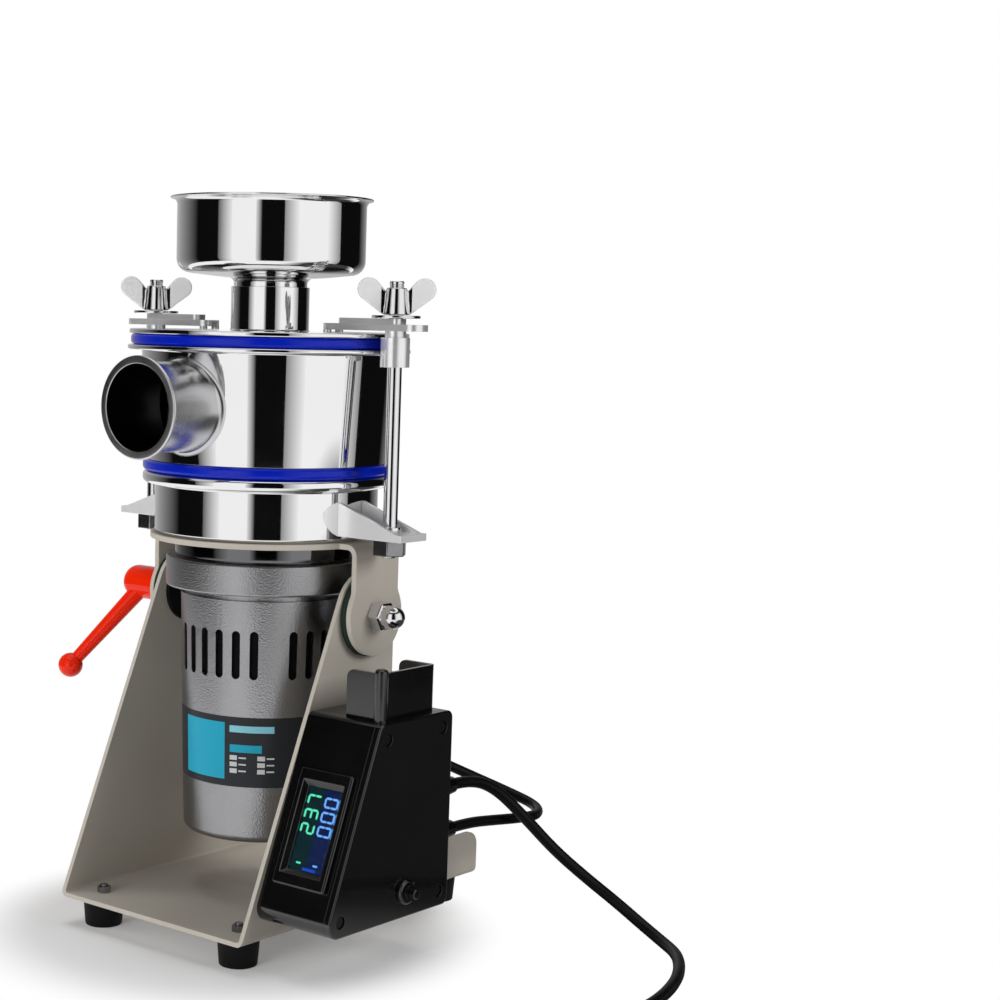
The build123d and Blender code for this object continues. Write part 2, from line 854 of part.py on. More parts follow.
with BuildPart() as motor_screws:
    with BuildSketch(Plane.XY.offset(bowl_bed)):
        with PolarLocations(mount_screw_circle, mount_screw_count, start_angle=mount_screw_turn):
            Circle(mount_screw_head_radius)
    extrude(amount=mount_screw_head_height)
    with BuildSketch(Plane.XY.offset(bowl_bed)):
        with PolarLocations(mount_screw_circle, mount_screw_count, start_angle=mount_screw_turn):
            Circle(mount_screw_radius)
    extrude(amount=-(bowl_floor + yoke_sheet + mount_screw_depth))
save(motor_screws.part, "motor_screws")

# Motor works
save(ring(can_bore_radius - fit_clearance, stator_bore, stator_bottom, stator_height), "stator_core")

with BuildPart() as stator_windings:
    for bottom in (stator_bottom - winding_height, stator_top):
        with BuildSketch(Plane.XZ):
            with Locations((winding_inner, bottom)):
                RectangleRounded(
                    winding_outer - winding_inner,
                    winding_height,
                    winding_round,
                    align=(Align.MIN, Align.MIN),
                )
        revolve(axis=Axis.Z)
save(stator_windings.part, "stator_windings")

commutator_bottom = lower_seat + commutator_lift
brush_middle = commutator_bottom + commutator_height / 2

with BuildPart() as brush_holders:
    for side in sides:
        with BuildSketch(along_x(side * (commutator_radius + slide_clearance), 0, brush_middle)):
            Rectangle(brush_width, brush_height)
        extrude(amount=side * (can_bore_radius - commutator_radius))
    with BuildSketch(Plane.XY.offset(brush_middle - brush_height)):
        Circle(can_bore_radius - fit_clearance)
    extrude(amount=2 * brush_height, mode=Mode.INTERSECT)
save(brush_holders.part, "brush_holders")

shaft_hole = shaft_radius + running_clearance
with BuildPart() as motor_bearings:
    with BuildSketch(Plane.XY.offset(bearing_top)):
        Circle(upper_bearing_radius)
        Circle(shaft_hole, mode=Mode.SUBTRACT)
    extrude(amount=-upper_bearing_height)
    with BuildSketch(Plane.XY.offset(lower_seat)):
        Circle(lower_bearing_radius)
        Circle(shaft_tail_radius + running_clearance, mode=Mode.SUBTRACT)
    extrude(amount=lower_bearing_height)
save(motor_bearings.part, "motor_bearings")

save(ring(shaft_seal_radius - fit_clearance, shaft_hole, yoke_top, shaft_seal_height), "shaft_seal")

# Rotor
tail_top_height = lower_seat + lower_bearing_height + flat_clearance

with BuildPart() as rotor_shaft:
    with BuildSketch(Plane.XZ):
        with BuildLine():
            Polyline(
                (0, lower_seat + flat_clearance),
                (shaft_tail_radius, lower_seat + flat_clearance),
                (shaft_tail_radius, tail_top_height),
                (shaft_radius, tail_top_height),
                (shaft_radius, hub_top),
                (shaft_tip_radius, hub_top),
                (shaft_tip_radius, shaft_top),
                (0, shaft_top),
                close=True,
            )
        make_face()
    revolve(axis=Axis.Z)
save(rotor_shaft.part, "rotor_shaft")

armature_radius = stator_bore - armature_gap

with BuildPart() as armature:
    with BuildSketch(Plane.XY.offset(stator_bottom - armature_overhang)):
        Circle(armature_radius)
        with PolarLocations(armature_radius, armature_slots):
            Rectangle(2 * armature_slot_depth, armature_slot_width, mode=Mode.SUBTRACT)
        Circle(shaft_radius + fit_clearance, mode=Mode.SUBTRACT)
    extrude(amount=stator_height + 2 * armature_overhang)
save(armature.part, "armature")

save(
    ring(commutator_radius, shaft_radius + fit_clearance, commutator_bottom, commutator_height),
    "commutator",
)

fan_top = can_top - fan_drop

with BuildPart() as cooling_fan:
    with BuildSketch(Plane.XY.offset(fan_top - fan_disc)):
        Circle(fan_radius)
    extrude(amount=fan_disc)
    with BuildSketch(Plane.XY.offset(fan_top - fan_disc)):
        with PolarLocations((fan_radius + fan_hub_radius) / 2, fan_blades):
            Rectangle(fan_radius - fan_hub_radius, fan_blade_thickness, rotation=fan_blade_lean)
        Circle(fan_hub_radius)
    extrude(amount=-fan_blade_height)
    with BuildSketch(Plane.XY.offset(fan_top)):
        Circle(shaft_radius + fit_clearance)
    extrude(amount=-(fan_disc + fan_blade_height), mode=Mode.SUBTRACT)
save(cooling_fan.part, "cooling_fan")

save(ring(hub_radius, shaft_radius + fit_clearance, hub_bottom, hub_height), "blade_hub")

with BuildPart() as blades:
    for quarter in range(4):
        turn = radians(90 * quarter)
        arm_base = hub_top + (quarter % 2) * blade_thickness
        with BuildSketch(
            Plane(
                origin=(0, 0, arm_base),
                x_dir=(-sin(turn), cos(turn), 0),
                z_dir=(cos(turn), sin(turn), 0),
            )
        ):
            with BuildLine():
                Polyline(
                    (-blade_width / 2, 0),
                    (blade_width / 2, 0),
                    (blade_width / 2 - blade_bevel, blade_thickness),
                    (-blade_width / 2, blade_thickness),
                    close=True,
                )
            make_face()
        extrude(amount=blade_reach)
    with BuildSketch(Plane.XY.offset(hub_top)):
        Circle(shaft_tip_radius + fit_clearance)
    extrude(amount=2 * blade_thickness, mode=Mode.SUBTRACT)
save(blades.part, "blades")

with BuildPart() as rotor_nut:
    with BuildSketch(Plane.XY.offset(blades_top)):
        RegularPolygon(rotor_nut_width / 2, 6, major_radius=False)
        Circle(shaft_tip_radius + fit_clearance, mode=Mode.SUBTRACT)
    extrude(amount=rotor_nut_height)
save(rotor_nut.part, "rotor_nut")

# Lower bowl, ears and rods
with BuildPart() as lower_bowl:
    with BuildSketch(Plane.XZ) as bowl_profile:
        with BuildLine():
            Polyline(
                (shaft_seal_radius, yoke_top),
                (bowl_radius, yoke_top),
                (bowl_radius, bowl_top - bowl_flange_height),
                (bowl_flange_radius, bowl_top - bowl_flange_height),
                (bowl_flange_radius, bowl_top),
                (bowl_radius - bowl_wall, bowl_top),
                (bowl_radius - bowl_wall, bowl_bed),
                (shaft_seal_radius, bowl_bed),
                close=True,
            )
        make_face()
        fillet(bowl_profile.vertices().group_by(Axis.X)[-1], bowl_flange_round)
        side_corners = bowl_profile.vertices().filter_by(
            lambda corner: abs(corner.X - bowl_radius) < match_tolerance
        )
        fillet(side_corners.sort_by(Axis.Y)[0], bowl_corner)
    revolve(axis=Axis.Z)
    with BuildSketch(Plane.XY.offset(yoke_top)):
        with PolarLocations(mount_screw_circle, mount_screw_count, start_angle=mount_screw_turn):
            Circle(mount_screw_radius + fit_clearance)
    extrude(amount=bowl_floor, mode=Mode.SUBTRACT)
save(lower_bowl.part, "lower_bowl")

ear_tip = rod_offset + ear_overhang
ear_root = bowl_radius / 2

with BuildPart() as ear_brackets:
    for side in sides:
        with BuildSketch(Plane.XY.offset(ear_bottom)):
            with Locations((side * (ear_root + ear_tip) / 2, 0)):
                Rectangle(ear_tip - ear_root, 2 * ear_half_width)
        extrude(amount=ear_sheet)
        for edge in sides:
            with BuildSketch(Plane.XZ.offset(edge * ear_half_width)):
                with BuildLine():
                    Polyline(
                        (side * ear_root, ear_bottom),
                        (side * ear_tip, ear_bottom),
                        (side * ear_tip, ear_top),
                        (side * (ear_tip - ear_gusset_land), ear_top),
                        (side * bowl_radius, ear_top + ear_gusset_rise),
                        (side * ear_root, ear_top + ear_gusset_rise),
                        close=True,
                    )
                make_face()
            extrude(amount=-edge * ear_gusset)
    with BuildSketch(Plane.XY.offset(ear_bottom)):
        Circle(bowl_radius + fit_clearance)
        with Locations(*[(side * rod_offset, 0) for side in sides]):
            Circle(rod_radius + fit_clearance)
    extrude(amount=ear_sheet + ear_gusset_rise, mode=Mode.SUBTRACT)
save(ear_brackets.part, "ear_brackets")

rod_places = [(side * rod_offset, 0) for side in sides]

with BuildPart() as clamp_rods:
    with BuildSketch(Plane.XY.offset(rod_bottom)):
        with Locations(*rod_places):
            Circle(rod_radius)
    extrude(amount=rod_top - rod_bottom)
    with BuildSketch(Plane.XY.offset(ear_top)):
        with Locations(*rod_places):
            Circle(rod_shoulder_radius)
    extrude(amount=rod_shoulder_height)
save(clamp_rods.part, "clamp_rods")

with BuildPart() as rod_nuts:
    with BuildSketch(Plane.XY.offset(ear_bottom)):
        with Locations(*rod_places):
            RegularPolygon(rod_nut_width / 2, 6, major_radius=False)
            Circle(rod_radius + fit_clearance, mode=Mode.SUBTRACT)
    extrude(amount=-rod_nut_height)
save(rod_nuts.part, "rod_nuts")


# Chamber, seals and lid
seal_sizes = [
    (lower_seal_radius, lower_seal_bore, bowl_top),
    (upper_seal_radius, upper_seal_bore, chamber_top),
]

with BuildPart() as chamber_seals:
    for outer, inner, base in seal_sizes:
        with BuildSketch(Plane.XZ) as seal_profile:
            with Locations((inner, base)):
                Rectangle(outer - inner, seal_height, align=(Align.MIN, Align.MIN))
            fillet(seal_profile.vertices().group_by(Axis.X)[-1], seal_round)
        revolve(axis=Axis.Z)
save(chamber_seals.part, "chamber_seals")

spout_tube_radius = spout_bore_radius + spout_wall
flange_bottom = chamber_top - chamber_flange
spout_plane = Plane(origin=(0, -spout_reach, spout_axis_height), x_dir=(1, 0, 0), z_dir=(0, 1, 0))

with BuildPart() as chamber:
    with BuildSketch(Plane.XZ):
        with BuildLine():
            Polyline(
                (0, chamber_bottom),
                (chamber_bottom_radius, chamber_bottom),
                (chamber_top_radius, flange_bottom),
                (chamber_flange_radius, flange_bottom),
                (chamber_flange_radius, chamber_top),
                (0, chamber_top),
                close=True,
            )
        make_face()
    revolve(axis=Axis.Z)
    with BuildSketch(spout_plane):
        Circle(spout_tube_radius)
    extrude(amount=spout_reach - chamber_bottom_radius / 2)
    weld_edges = chamber.edges().filter_by(
        lambda edge: edge.geom_type not in (GeomType.CIRCLE, GeomType.LINE)
    )
    fillet(weld_edges, spout_blend)
    with BuildSketch(spout_plane):
        Circle(spout_lip_radius)
    extrude(amount=spout_lip)
    with BuildSketch(Plane.XZ):
        with BuildLine():
            Polyline(
                (0, chamber_bottom),
                (chamber_bottom_radius - chamber_wall, chamber_bottom),
                (chamber_top_radius - chamber_wall, chamber_top),
                (0, chamber_top),
                close=True,
            )
        make_face()
    revolve(axis=Axis.Z, mode=Mode.SUBTRACT)
    with BuildSketch(spout_plane):
        Circle(spout_bore_radius)
    extrude(amount=spout_reach, mode=Mode.SUBTRACT)
    lip_edges = chamber.edges().filter_by(GeomType.CIRCLE).filter_by(
        lambda edge: abs(edge.radius - spout_lip_radius) < match_tolerance
    )
    fillet(lip_edges, spout_lip_round)
save(chamber.part, "chamber")

sieve_bottom = bowl_bed
sieve_height = chamber_top + seal_height - sieve_headroom - sieve_bottom
sieve_planes = [
    Plane(
        origin=(0, 0, spout_axis_height),
        x_dir=(-sin(angle), cos(angle), 0),
        z_dir=(cos(angle), sin(angle), 0),
    )
    for angle in (2 * pi * index / sieve_slots for index in range(sieve_slots))
]

with BuildPart() as sieve_ring:
    with BuildSketch(Plane.XY.offset(sieve_bottom)):
        Circle(sieve_radius)
        Circle(sieve_radius - sieve_wall, mode=Mode.SUBTRACT)
    extrude(amount=sieve_height)
    with BuildSketch(*sieve_planes):
        Rectangle(sieve_slot_width, sieve_slot_length)
    extrude(amount=sieve_radius + sieve_wall, mode=Mode.SUBTRACT)
save(sieve_ring.part, "sieve_ring")

neck_bore = neck_radius - neck_wall

with BuildPart() as lid:
    with BuildSketch(Plane.XY.offset(lid_bottom)):
        Circle(lid_radius)
        Circle(lid_bore, mode=Mode.SUBTRACT)
    extrude(amount=lid_thickness)
    with BuildSketch(Plane.XY.offset(lid_top)):
        Circle(neck_radius)
        Circle(neck_bore, mode=Mode.SUBTRACT)
    extrude(amount=neck_height)
save(lid.part, "lid")

# Hopper: one spun sheet from spigot to lip
spigot_radius = neck_bore - slide_clearance
hopper_cone_bottom = neck_top + hopper_band
hopper_dish_bottom = hopper_cone_bottom + hopper_cone_rise
hopper_top = hopper_cone_bottom + hopper_depth

with BuildPart() as hopper:
    with BuildSketch(Plane.XZ):
        with BuildLine() as outer_line:
            FilletPolyline(
                (spigot_radius, lid_top),
                (spigot_radius, hopper_cone_bottom),
                (hopper_radius, hopper_dish_bottom),
                (hopper_radius, hopper_top - hopper_sheet),
                (hopper_lip_radius, hopper_top - hopper_sheet),
                radius=[hopper_sheet, hopper_corner, hopper_lip_round],
            )
            offset(amount=hopper_sheet, side=Side.LEFT)
        make_face()
    revolve(axis=Axis.Z)
save(hopper.part, "hopper")


# Clamp arms, washers and wing nuts
def clamp_arm(side):
    """Swinging clamp arm: bush on the rod, forked bar with two toes, and a top strap."""
    inward = -side
    hug = Align.MAX if inward < 0 else Align.MIN
    toe_spread = (arm_width + arm_fork_width) / 4
    toe_place = inward * (arm_reach - arm_fork_inset)
    with BuildPart() as piece:
        with BuildSketch(Plane.XY.offset(arm_bottom)) as bar:
            with Locations((side * rod_offset + side * arm_tail, 0)):
                Rectangle(arm_reach + arm_tail, arm_width, align=(hug, Align.CENTER))
            fillet(bar.vertices(), arm_corner)
            with Locations((side * rod_offset + inward * arm_reach, 0)):
                Rectangle(
                    arm_fork_length,
                    arm_fork_width,
                    align=(Align.MIN if inward < 0 else Align.MAX, Align.CENTER),
                    mode=Mode.SUBTRACT,
                )
        extrude(amount=arm_thickness)
        with BuildSketch(Plane.XY.offset(arm_top)) as strap:
            with Locations((side * rod_offset + side * strap_width / 2, 0)):
                Rectangle(strap_reach + strap_width / 2, strap_width, align=(hug, Align.CENTER))
            fillet(strap.vertices(), strap_corner)
        extrude(amount=strap_thickness)
        with BuildSketch(Plane.XY.offset(arm_bottom)):
            with Locations(*[(side * rod_offset + toe_place, spread * toe_spread) for spread in sides]):
                Circle(toe_radius)
        extrude(amount=-(arm_lift - flat_clearance))
        with BuildSketch(Plane.XY.offset(arm_bottom)):
            with Locations((side * rod_offset, 0)):
                Circle(bush_neck_radius)
        extrude(amount=-bush_neck_height)
        with BuildSketch(Plane.XY.offset(arm_bottom - bush_neck_height)):
            with Locations((side * rod_offset, 0)):
                Circle(bush_radius)
        extrude(amount=-(bush_drop - bush_neck_height))
        with BuildSketch(Plane.XY.offset(strap_top)):
            with Locations((side * rod_offset, 0)):
                Circle(rod_radius + running_clearance)
        extrude(amount=-(strap_top - arm_bottom + bush_drop), mode=Mode.SUBTRACT)
    return piece.part


save(clamp_arm(-1), "clamp_arm_left")
save(clamp_arm(1), "clamp_arm_right")

with BuildPart() as clamp_washers:
    with BuildSketch(Plane.XY.offset(strap_top + flat_clearance)):
        with Locations(*rod_places):
            Circle(washer_radius)
            Circle(rod_radius + fit_clearance, mode=Mode.SUBTRACT)
    extrude(amount=washer_thickness - flat_clearance)
save(clamp_washers.part, "clamp_washers")


def wing_nut(side):
    """Wing nut on a rod: tapered hub with two rounded wings."""
    wing_dir = (cos(radians(wing_angle)), sin(radians(wing_angle)), 0)
    wing_normal = (sin(radians(wing_angle)), -cos(radians(wing_angle)), 0)
    tip_place = wing_half_span - wing_tip_radius
    with BuildPart() as piece:
        with Locations((side * rod_offset, 0, nut_base)):
            Cone(
                wing_hub_radius,
                wing_hub_top_radius,
                wing_hub_height,
                align=(Align.CENTER, Align.CENTER, Align.MIN),
            )
        for wing in sides:
            wing_origin = (side * rod_offset, 0, nut_base)
            with BuildSketch(Plane(origin=wing_origin, x_dir=wing_dir, z_dir=wing_normal)):
                with Locations((wing * tip_place, wing_tip_height - wing_tip_radius)):
                    Circle(wing_tip_radius)
                with Locations((wing * wing_hub_top_radius, wing_root_lift)):
                    Circle(wing_root_radius)
                make_hull()
            extrude(amount=wing_thickness / 2, both=True)
        with BuildSketch(Plane.XY.offset(nut_base)):
            with Locations((side * rod_offset, 0)):
                Circle(rod_radius + running_clearance)
        extrude(amount=wing_tip_height, mode=Mode.SUBTRACT)
    return piece.part


save(wing_nut(-1), "wing_nut_left")
save(wing_nut(1), "wing_nut_right")


# Control box
def box_outline(inset):
    """Side view of the control box, drawn in by an inset."""
    with BuildSketch() as outline:
        with BuildLine():
            Polyline(
                (box_back, box_bottom),
                (-box_front, box_bottom),
                (box_front_top, box_top),
                (box_back, box_top),
                close=True,
            )
        make_face()
        fillet(outline.vertices().sort_by(Axis.X)[0], box_chin)
        top_corners = outline.vertices().filter_by(lambda corner: corner.Y > box_top - match_tolerance)
        fillet(top_corners, box_corner)
        fillet(outline.vertices().sort_by(Axis.Y)[:2].sort_by(Axis.X)[-1], box_corner)
        if inset > 0:
            offset(amount=-inset)
    return outline.sketch_local


lean = radians(box_lean)
face_middle = Vector(
    (box_left + box_right) / 2,
    (-box_front + box_front_top) / 2,
    (box_bottom + box_top) / 2,
)
up_slope = Vector(0, sin(lean), cos(lean))
meter_slope_place = (box_height / cos(lean) - meter_height) * meter_slope_share
face_plane = Plane(
    origin=face_middle - up_slope * meter_slope_place,
    x_dir=(1, 0, 0),
    z_dir=(0, -cos(lean), sin(lean)),
)
cover_screw_places = [
    (box_back - cover_screw_inset, box_bottom + cover_screw_inset),
    (box_back - cover_screw_inset, box_top - cover_screw_inset),
    (-box_front + cover_screw_inset * (1 / cos(lean) + tan(lean)), box_bottom + cover_screw_inset),
    (box_front_top + cover_screw_inset * (1 / cos(lean) - tan(lean)), box_top - cover_screw_inset),
]
turret_x = cover_inner - turret_gap_side + cover_thickness - turret_width / 2
turret_y = box_back - turret_gap_back - turret_length / 2
gland_x = cover_inner - gland_inset
mains_gland_z = box_bottom + mains_gland_height
lead_gland_z = box_bottom + lead_gland_height
breaker_place = (box_back - breaker_forward, box_bottom + breaker_height)

with BuildPart() as box_shell:
    with BuildSketch(Plane.YZ.offset(box_left)):
        add(box_outline(0))
    extrude(amount=cover_inner - box_left)
    with BuildSketch(Plane.YZ.offset(box_left + box_wall)):
        add(box_outline(box_wall))
    extrude(amount=cover_inner - box_left - box_wall, mode=Mode.SUBTRACT)
    with BuildSketch(Plane.YZ.offset(box_left + box_wall)):
        with Locations(*cover_screw_places):
            Circle(cover_boss_radius)
    extrude(amount=cover_inner - box_left - box_wall)
    with BuildSketch(Plane.YZ.offset(box_left + box_wall)):
        with Locations(*box_screw_places):
            Circle(box_screw_boss_radius)
    extrude(amount=box_screw_boss_height)
    with BuildSketch(Plane.YZ.offset(cover_inner)):
        with Locations(*cover_screw_places):
            Circle(cover_screw_radius + fit_clearance)
    extrude(amount=-cover_screw_length, mode=Mode.SUBTRACT)
    with BuildSketch(Plane.YZ.offset(box_left)):
        with Locations(*box_screw_places):
            Circle(box_screw_radius + fit_clearance)
    extrude(amount=box_wall + box_screw_boss_height, mode=Mode.SUBTRACT)
    with BuildSketch(face_plane):
        Rectangle(meter_body_width + 2 * slide_clearance, meter_body_height + 2 * slide_clearance)
    extrude(amount=-2 * box_wall, mode=Mode.SUBTRACT)
    with BuildSketch(Plane.XY.offset(box_top)):
        with Locations((turret_x, turret_y)):
            Rectangle(switch_body_width + 2 * slide_clearance, switch_body_length + 2 * slide_clearance)
    extrude(amount=-box_wall, mode=Mode.SUBTRACT)
    with BuildSketch(Plane.XZ.offset(-box_back)):
        with Locations((gland_x, mains_gland_z), (gland_x, lead_gland_z)):
            Circle(gland_tip_radius + fit_clearance)
    extrude(amount=box_wall, mode=Mode.SUBTRACT)
save(box_shell.part, "box_shell")

with BuildPart() as box_cover:
    with BuildSketch(Plane.YZ.offset(cover_inner)):
        add(box_outline(0))
    extrude(amount=cover_thickness)
    fillet(box_cover.faces().sort_by(Axis.X)[-1].edges(), cover_edge)
    with BuildSketch(Plane.YZ.offset(cover_inner)):
        with Locations(*cover_screw_places):
            Circle(cover_screw_radius + fit_clearance)
        with Locations(breaker_place):
            Circle(breaker_neck_radius + fit_clearance)
    extrude(amount=cover_thickness, mode=Mode.SUBTRACT)
    with BuildSketch(Plane.YZ.offset(box_right)):
        with Locations(*cover_screw_places):
            Circle(cover_screw_sink_radius)
    extrude(amount=-cover_screw_sink, mode=Mode.SUBTRACT)
save(box_cover.part, "box_cover")

screw_seat = box_right - cover_screw_sink

with BuildPart() as box_cover_screws:
    with BuildSketch(Plane.YZ.offset(screw_seat)):
        with Locations(*cover_screw_places):
            Circle(cover_screw_head_radius)
    extrude(amount=cover_screw_head_height)
    with BuildSketch(Plane.YZ.offset(screw_seat)):
        with Locations(*cover_screw_places):
            Circle(cover_screw_radius)
    extrude(amount=-cover_screw_length)
save(box_cover_screws.part, "box_cover_screws")

with BuildPart() as box_mount_screws:
    with BuildSketch(Plane.YZ.offset(plate_inner)):
        with Locations(*box_screw_places):
            Circle(box_screw_head_radius)
    extrude(amount=-box_screw_head_height)
    with BuildSketch(Plane.YZ.offset(plate_inner)):
        with Locations(*box_screw_places):
            Circle(box_screw_radius)
    extrude(amount=base_sheet + box_wall + box_screw_boss_height - flat_clearance)
save(box_mount_screws.part, "box_mount_screws")

# Meter
window_top = meter_proud - meter_mouth_depth
window_bottom = window_top - meter_window_thickness
board_bottom = window_bottom - meter_board_thickness

with BuildPart() as meter_case:
    with BuildSketch(face_plane):
        RectangleRounded(meter_width, meter_height, 2 * meter_edge)
    extrude(amount=meter_proud)
    chamfer(meter_case.faces().filter_by(face_plane).sort_by(Axis.Y)[0].edges(), meter_edge)
    with BuildSketch(face_plane):
        Rectangle(meter_body_width, meter_body_height)
    extrude(amount=-meter_body_depth)
    with BuildSketch(face_plane.offset(meter_proud)):
        Rectangle(meter_mouth_width, meter_mouth_height)
    with BuildSketch(face_plane.offset(window_top)):
        Rectangle(meter_window_width, meter_window_height)
    loft(mode=Mode.SUBTRACT)
    with BuildSketch(face_plane.offset(window_top)):
        Rectangle(meter_window_width, meter_window_height)
    extrude(amount=-(meter_window_thickness + meter_board_thickness), mode=Mode.SUBTRACT)
save(meter_case.part, "meter_case")

with BuildPart() as meter_window:
    with BuildSketch(face_plane.offset(window_bottom)):
        Rectangle(meter_window_width - 2 * fit_clearance, meter_window_height - 2 * fit_clearance)
    extrude(amount=meter_window_thickness)
save(meter_window.part, "meter_window")

with BuildPart() as meter_board:
    with BuildSketch(face_plane.offset(board_bottom)):
        Rectangle(meter_window_width - 2 * fit_clearance, meter_window_height - 2 * fit_clearance)
    extrude(amount=meter_board_thickness)
save(meter_board.part, "meter_board")

# Switch and its turret
turret_outer = turret_x + turret_width / 2
turret_front = turret_y - turret_length / 2

with BuildPart() as switch_turret:
    with BuildSketch(Plane.XY.offset(box_top)) as turret_plan:
        with Locations((turret_x, turret_y)):
            Rectangle(turret_width, turret_length)
        fillet(turret_plan.vertices().group_by(Axis.X)[-1], turret_corner)
        with Locations((turret_outer - turret_wall, turret_y)):
            Rectangle(
                turret_width,
                turret_length - 2 * turret_wall,
                align=(Align.MAX, Align.CENTER),
                mode=Mode.SUBTRACT,
            )
    extrude(amount=turret_height)
    free_ends = switch_turret.edges().filter_by(Axis.Y).group_by(Axis.Z)[-1].group_by(Axis.X)[0]
    fillet(free_ends, turret_end_round)
    with BuildSketch(Plane.XY.offset(box_top)):
        with Locations((turret_outer - turret_wall / 2, turret_front + turret_wall / 2)):
            Circle(turret_rib_radius)
    extrude(amount=turret_height + turret_rib_rise)
    fillet(switch_turret.faces().sort_by(Axis.Z)[-1].edges(), turret_rib_round)
save(switch_turret.part, "switch_turret")

flange_top = box_top + switch_flange
rocker_axis_height = flange_top - rocker_axis_drop
rocker_axis = Axis((turret_x, turret_y, rocker_axis_height), (1, 0, 0))

with BuildPart() as switch_body:
    with BuildSketch(Plane.XY.offset(box_top)):
        with Locations((turret_x, turret_y)):
            Rectangle(switch_width, switch_length)
    extrude(amount=switch_flange)
    with BuildSketch(Plane.XY.offset(box_top)):
        with Locations((turret_x, turret_y)):
            Rectangle(switch_body_width, switch_body_length)
    extrude(amount=-switch_body_depth)
    with BuildSketch(Plane.XY.offset(flange_top)):
        with Locations((turret_x, turret_y)):
            Rectangle(rocker_width + 2 * slide_clearance, rocker_length + 2 * rocker_room)
    extrude(amount=-(rocker_axis_drop + rocker_belly + rocker_room), mode=Mode.SUBTRACT)
    with BuildSketch(along_x(turret_x - switch_body_width / 2, turret_y, rocker_axis_height)):
        Circle(rocker_pin_radius)
    extrude(amount=switch_body_width)
save(switch_body.part, "switch_body")

with BuildPart() as switch_rocker:
    with BuildSketch(along_x(turret_x - rocker_width / 2, turret_y, rocker_axis_height)) as side_view:
        with BuildLine():
            Polyline(
                (-rocker_length / 2, rocker_crown),
                (0, rocker_valley),
                (rocker_length / 2, rocker_crown),
                (rocker_foot_share * rocker_length / 2, -rocker_side_share * rocker_belly),
                (0, -rocker_belly),
                (-rocker_foot_share * rocker_length / 2, -rocker_side_share * rocker_belly),
                close=True,
            )
        make_face()
        Circle(rocker_pin_radius + running_clearance, mode=Mode.SUBTRACT)
    extrude(amount=rocker_width)
save(switch_rocker.part.rotate(rocker_axis, -rocker_tilt), "switch_rocker")

# Overload breaker
neck_end = box_right + breaker_neck_proud
button_seat = neck_end - button_stem

with BuildPart() as breaker_body:
    with BuildSketch(Plane.YZ.offset(cover_inner)):
        with Locations(breaker_place):
            Rectangle(breaker_size, breaker_size / 2)
    extrude(amount=-breaker_depth)
    with BuildSketch(Plane.YZ.offset(cover_inner)):
        with Locations(breaker_place):
            Circle(breaker_neck_radius)
    extrude(amount=cover_thickness + breaker_neck_proud)
    with BuildSketch(Plane.YZ.offset(neck_end)):
        with Locations(breaker_place):
            Circle(button_radius + slide_clearance)
    extrude(amount=-(button_stem + button_travel + flat_clearance), mode=Mode.SUBTRACT)
save(breaker_body.part, "breaker_body")

with BuildPart() as breaker_nut:
    with BuildSketch(Plane.YZ.offset(box_right)):
        with Locations(breaker_place):
            Circle(breaker_nut_radius)
            Circle(breaker_neck_radius + fit_clearance, mode=Mode.SUBTRACT)
    extrude(amount=breaker_nut_height)
    chamfer(breaker_nut.faces().sort_by(Axis.X)[-1].outer_wire().edges(), breaker_nut_edge)
save(breaker_nut.part, "breaker_nut")

with BuildPart() as reset_button:
    with BuildSketch(Plane.YZ.offset(button_seat)):
        with Locations(breaker_place):
            Circle(button_radius)
    extrude(amount=button_stem + button_proud)
    fillet(reset_button.faces().sort_by(Axis.X)[-1].edges(), button_edge)
save(reset_button.part, "reset_button")


# Cords
with BuildPart() as cord_glands:
    for z in (mains_gland_z, lead_gland_z):
        with BuildSketch(Plane(origin=(gland_x, box_back, z), x_dir=(0, 1, 0), z_dir=(1, 0, 0))):
            with BuildLine():
                Polyline(
                    (-box_wall, 0),
                    (-box_wall, gland_tip_radius),
                    (0, gland_tip_radius),
                    (0, gland_flange_radius),
                    (gland_flange, gland_flange_radius),
                    (gland_flange, gland_neck_radius),
                    (gland_length, gland_tip_radius),
                    (gland_length, 0),
                    close=True,
                )
            make_face()
        revolve(axis=Axis((gland_x, box_back, z), (0, 1, 0)))
save(cord_glands.part, "cord_glands")


def cord_tube(name, points, radius):
    """Round cord of straight runs joined by the largest tangent arcs that fit; prints its radii."""
    corners = [Vector(*point) for point in points]
    runs = [after - before for before, after in zip(corners, corners[1:])]
    radii = []
    for before, after in zip(runs, runs[1:]):
        half_turn = radians(before.get_angle(after)) / 2
        radii.append(cord_arc_share * min(before.length, after.length) / tan(half_turn))
    with BuildPart() as tube:
        with BuildLine() as route:
            FilletPolyline(*corners, radius=radii)
        with BuildSketch(Plane(origin=route.wire() @ 0, z_dir=route.wire() % 0)):
            Circle(radius)
        sweep()
    length = route.wire().length
    print(name, "arc radii", [round(value, 1) for value in radii])
    volume_ratio = tube.part.volume / (pi * radius**2 * length)
    print(name, "length", round(length, 1), "volume ratio", round(volume_ratio, 4))
    return tube.part


gland_tip = box_back + gland_length
lead_end = grommet_out * grommet_end + Vector(0, 0, grommet_level)

lead_points = [
    (gland_x, gland_tip, lead_gland_z),
    (gland_x, gland_tip + lead_straight, lead_gland_z),
    *[(gland_x + x, gland_tip + y, lead_gland_z + z) for x, y, z in lead_from_box],
    *[lead_end + Vector(*place) for place in lead_to_motor],
    lead_end + grommet_out * lead_straight,
    lead_end,
]
save(cord_tube("motor lead", lead_points, lead_radius), "motor_lead")

coil_x = gland_x + coil_side
coil_y = gland_tip - coil_forward
coil_lead_in = 2 * mains_cord_radius
coil_start = (coil_x - coil_outer_radius, coil_y + coil_lead_in, mains_cord_radius)
mains_fall = mains_gland_z - mains_cord_radius

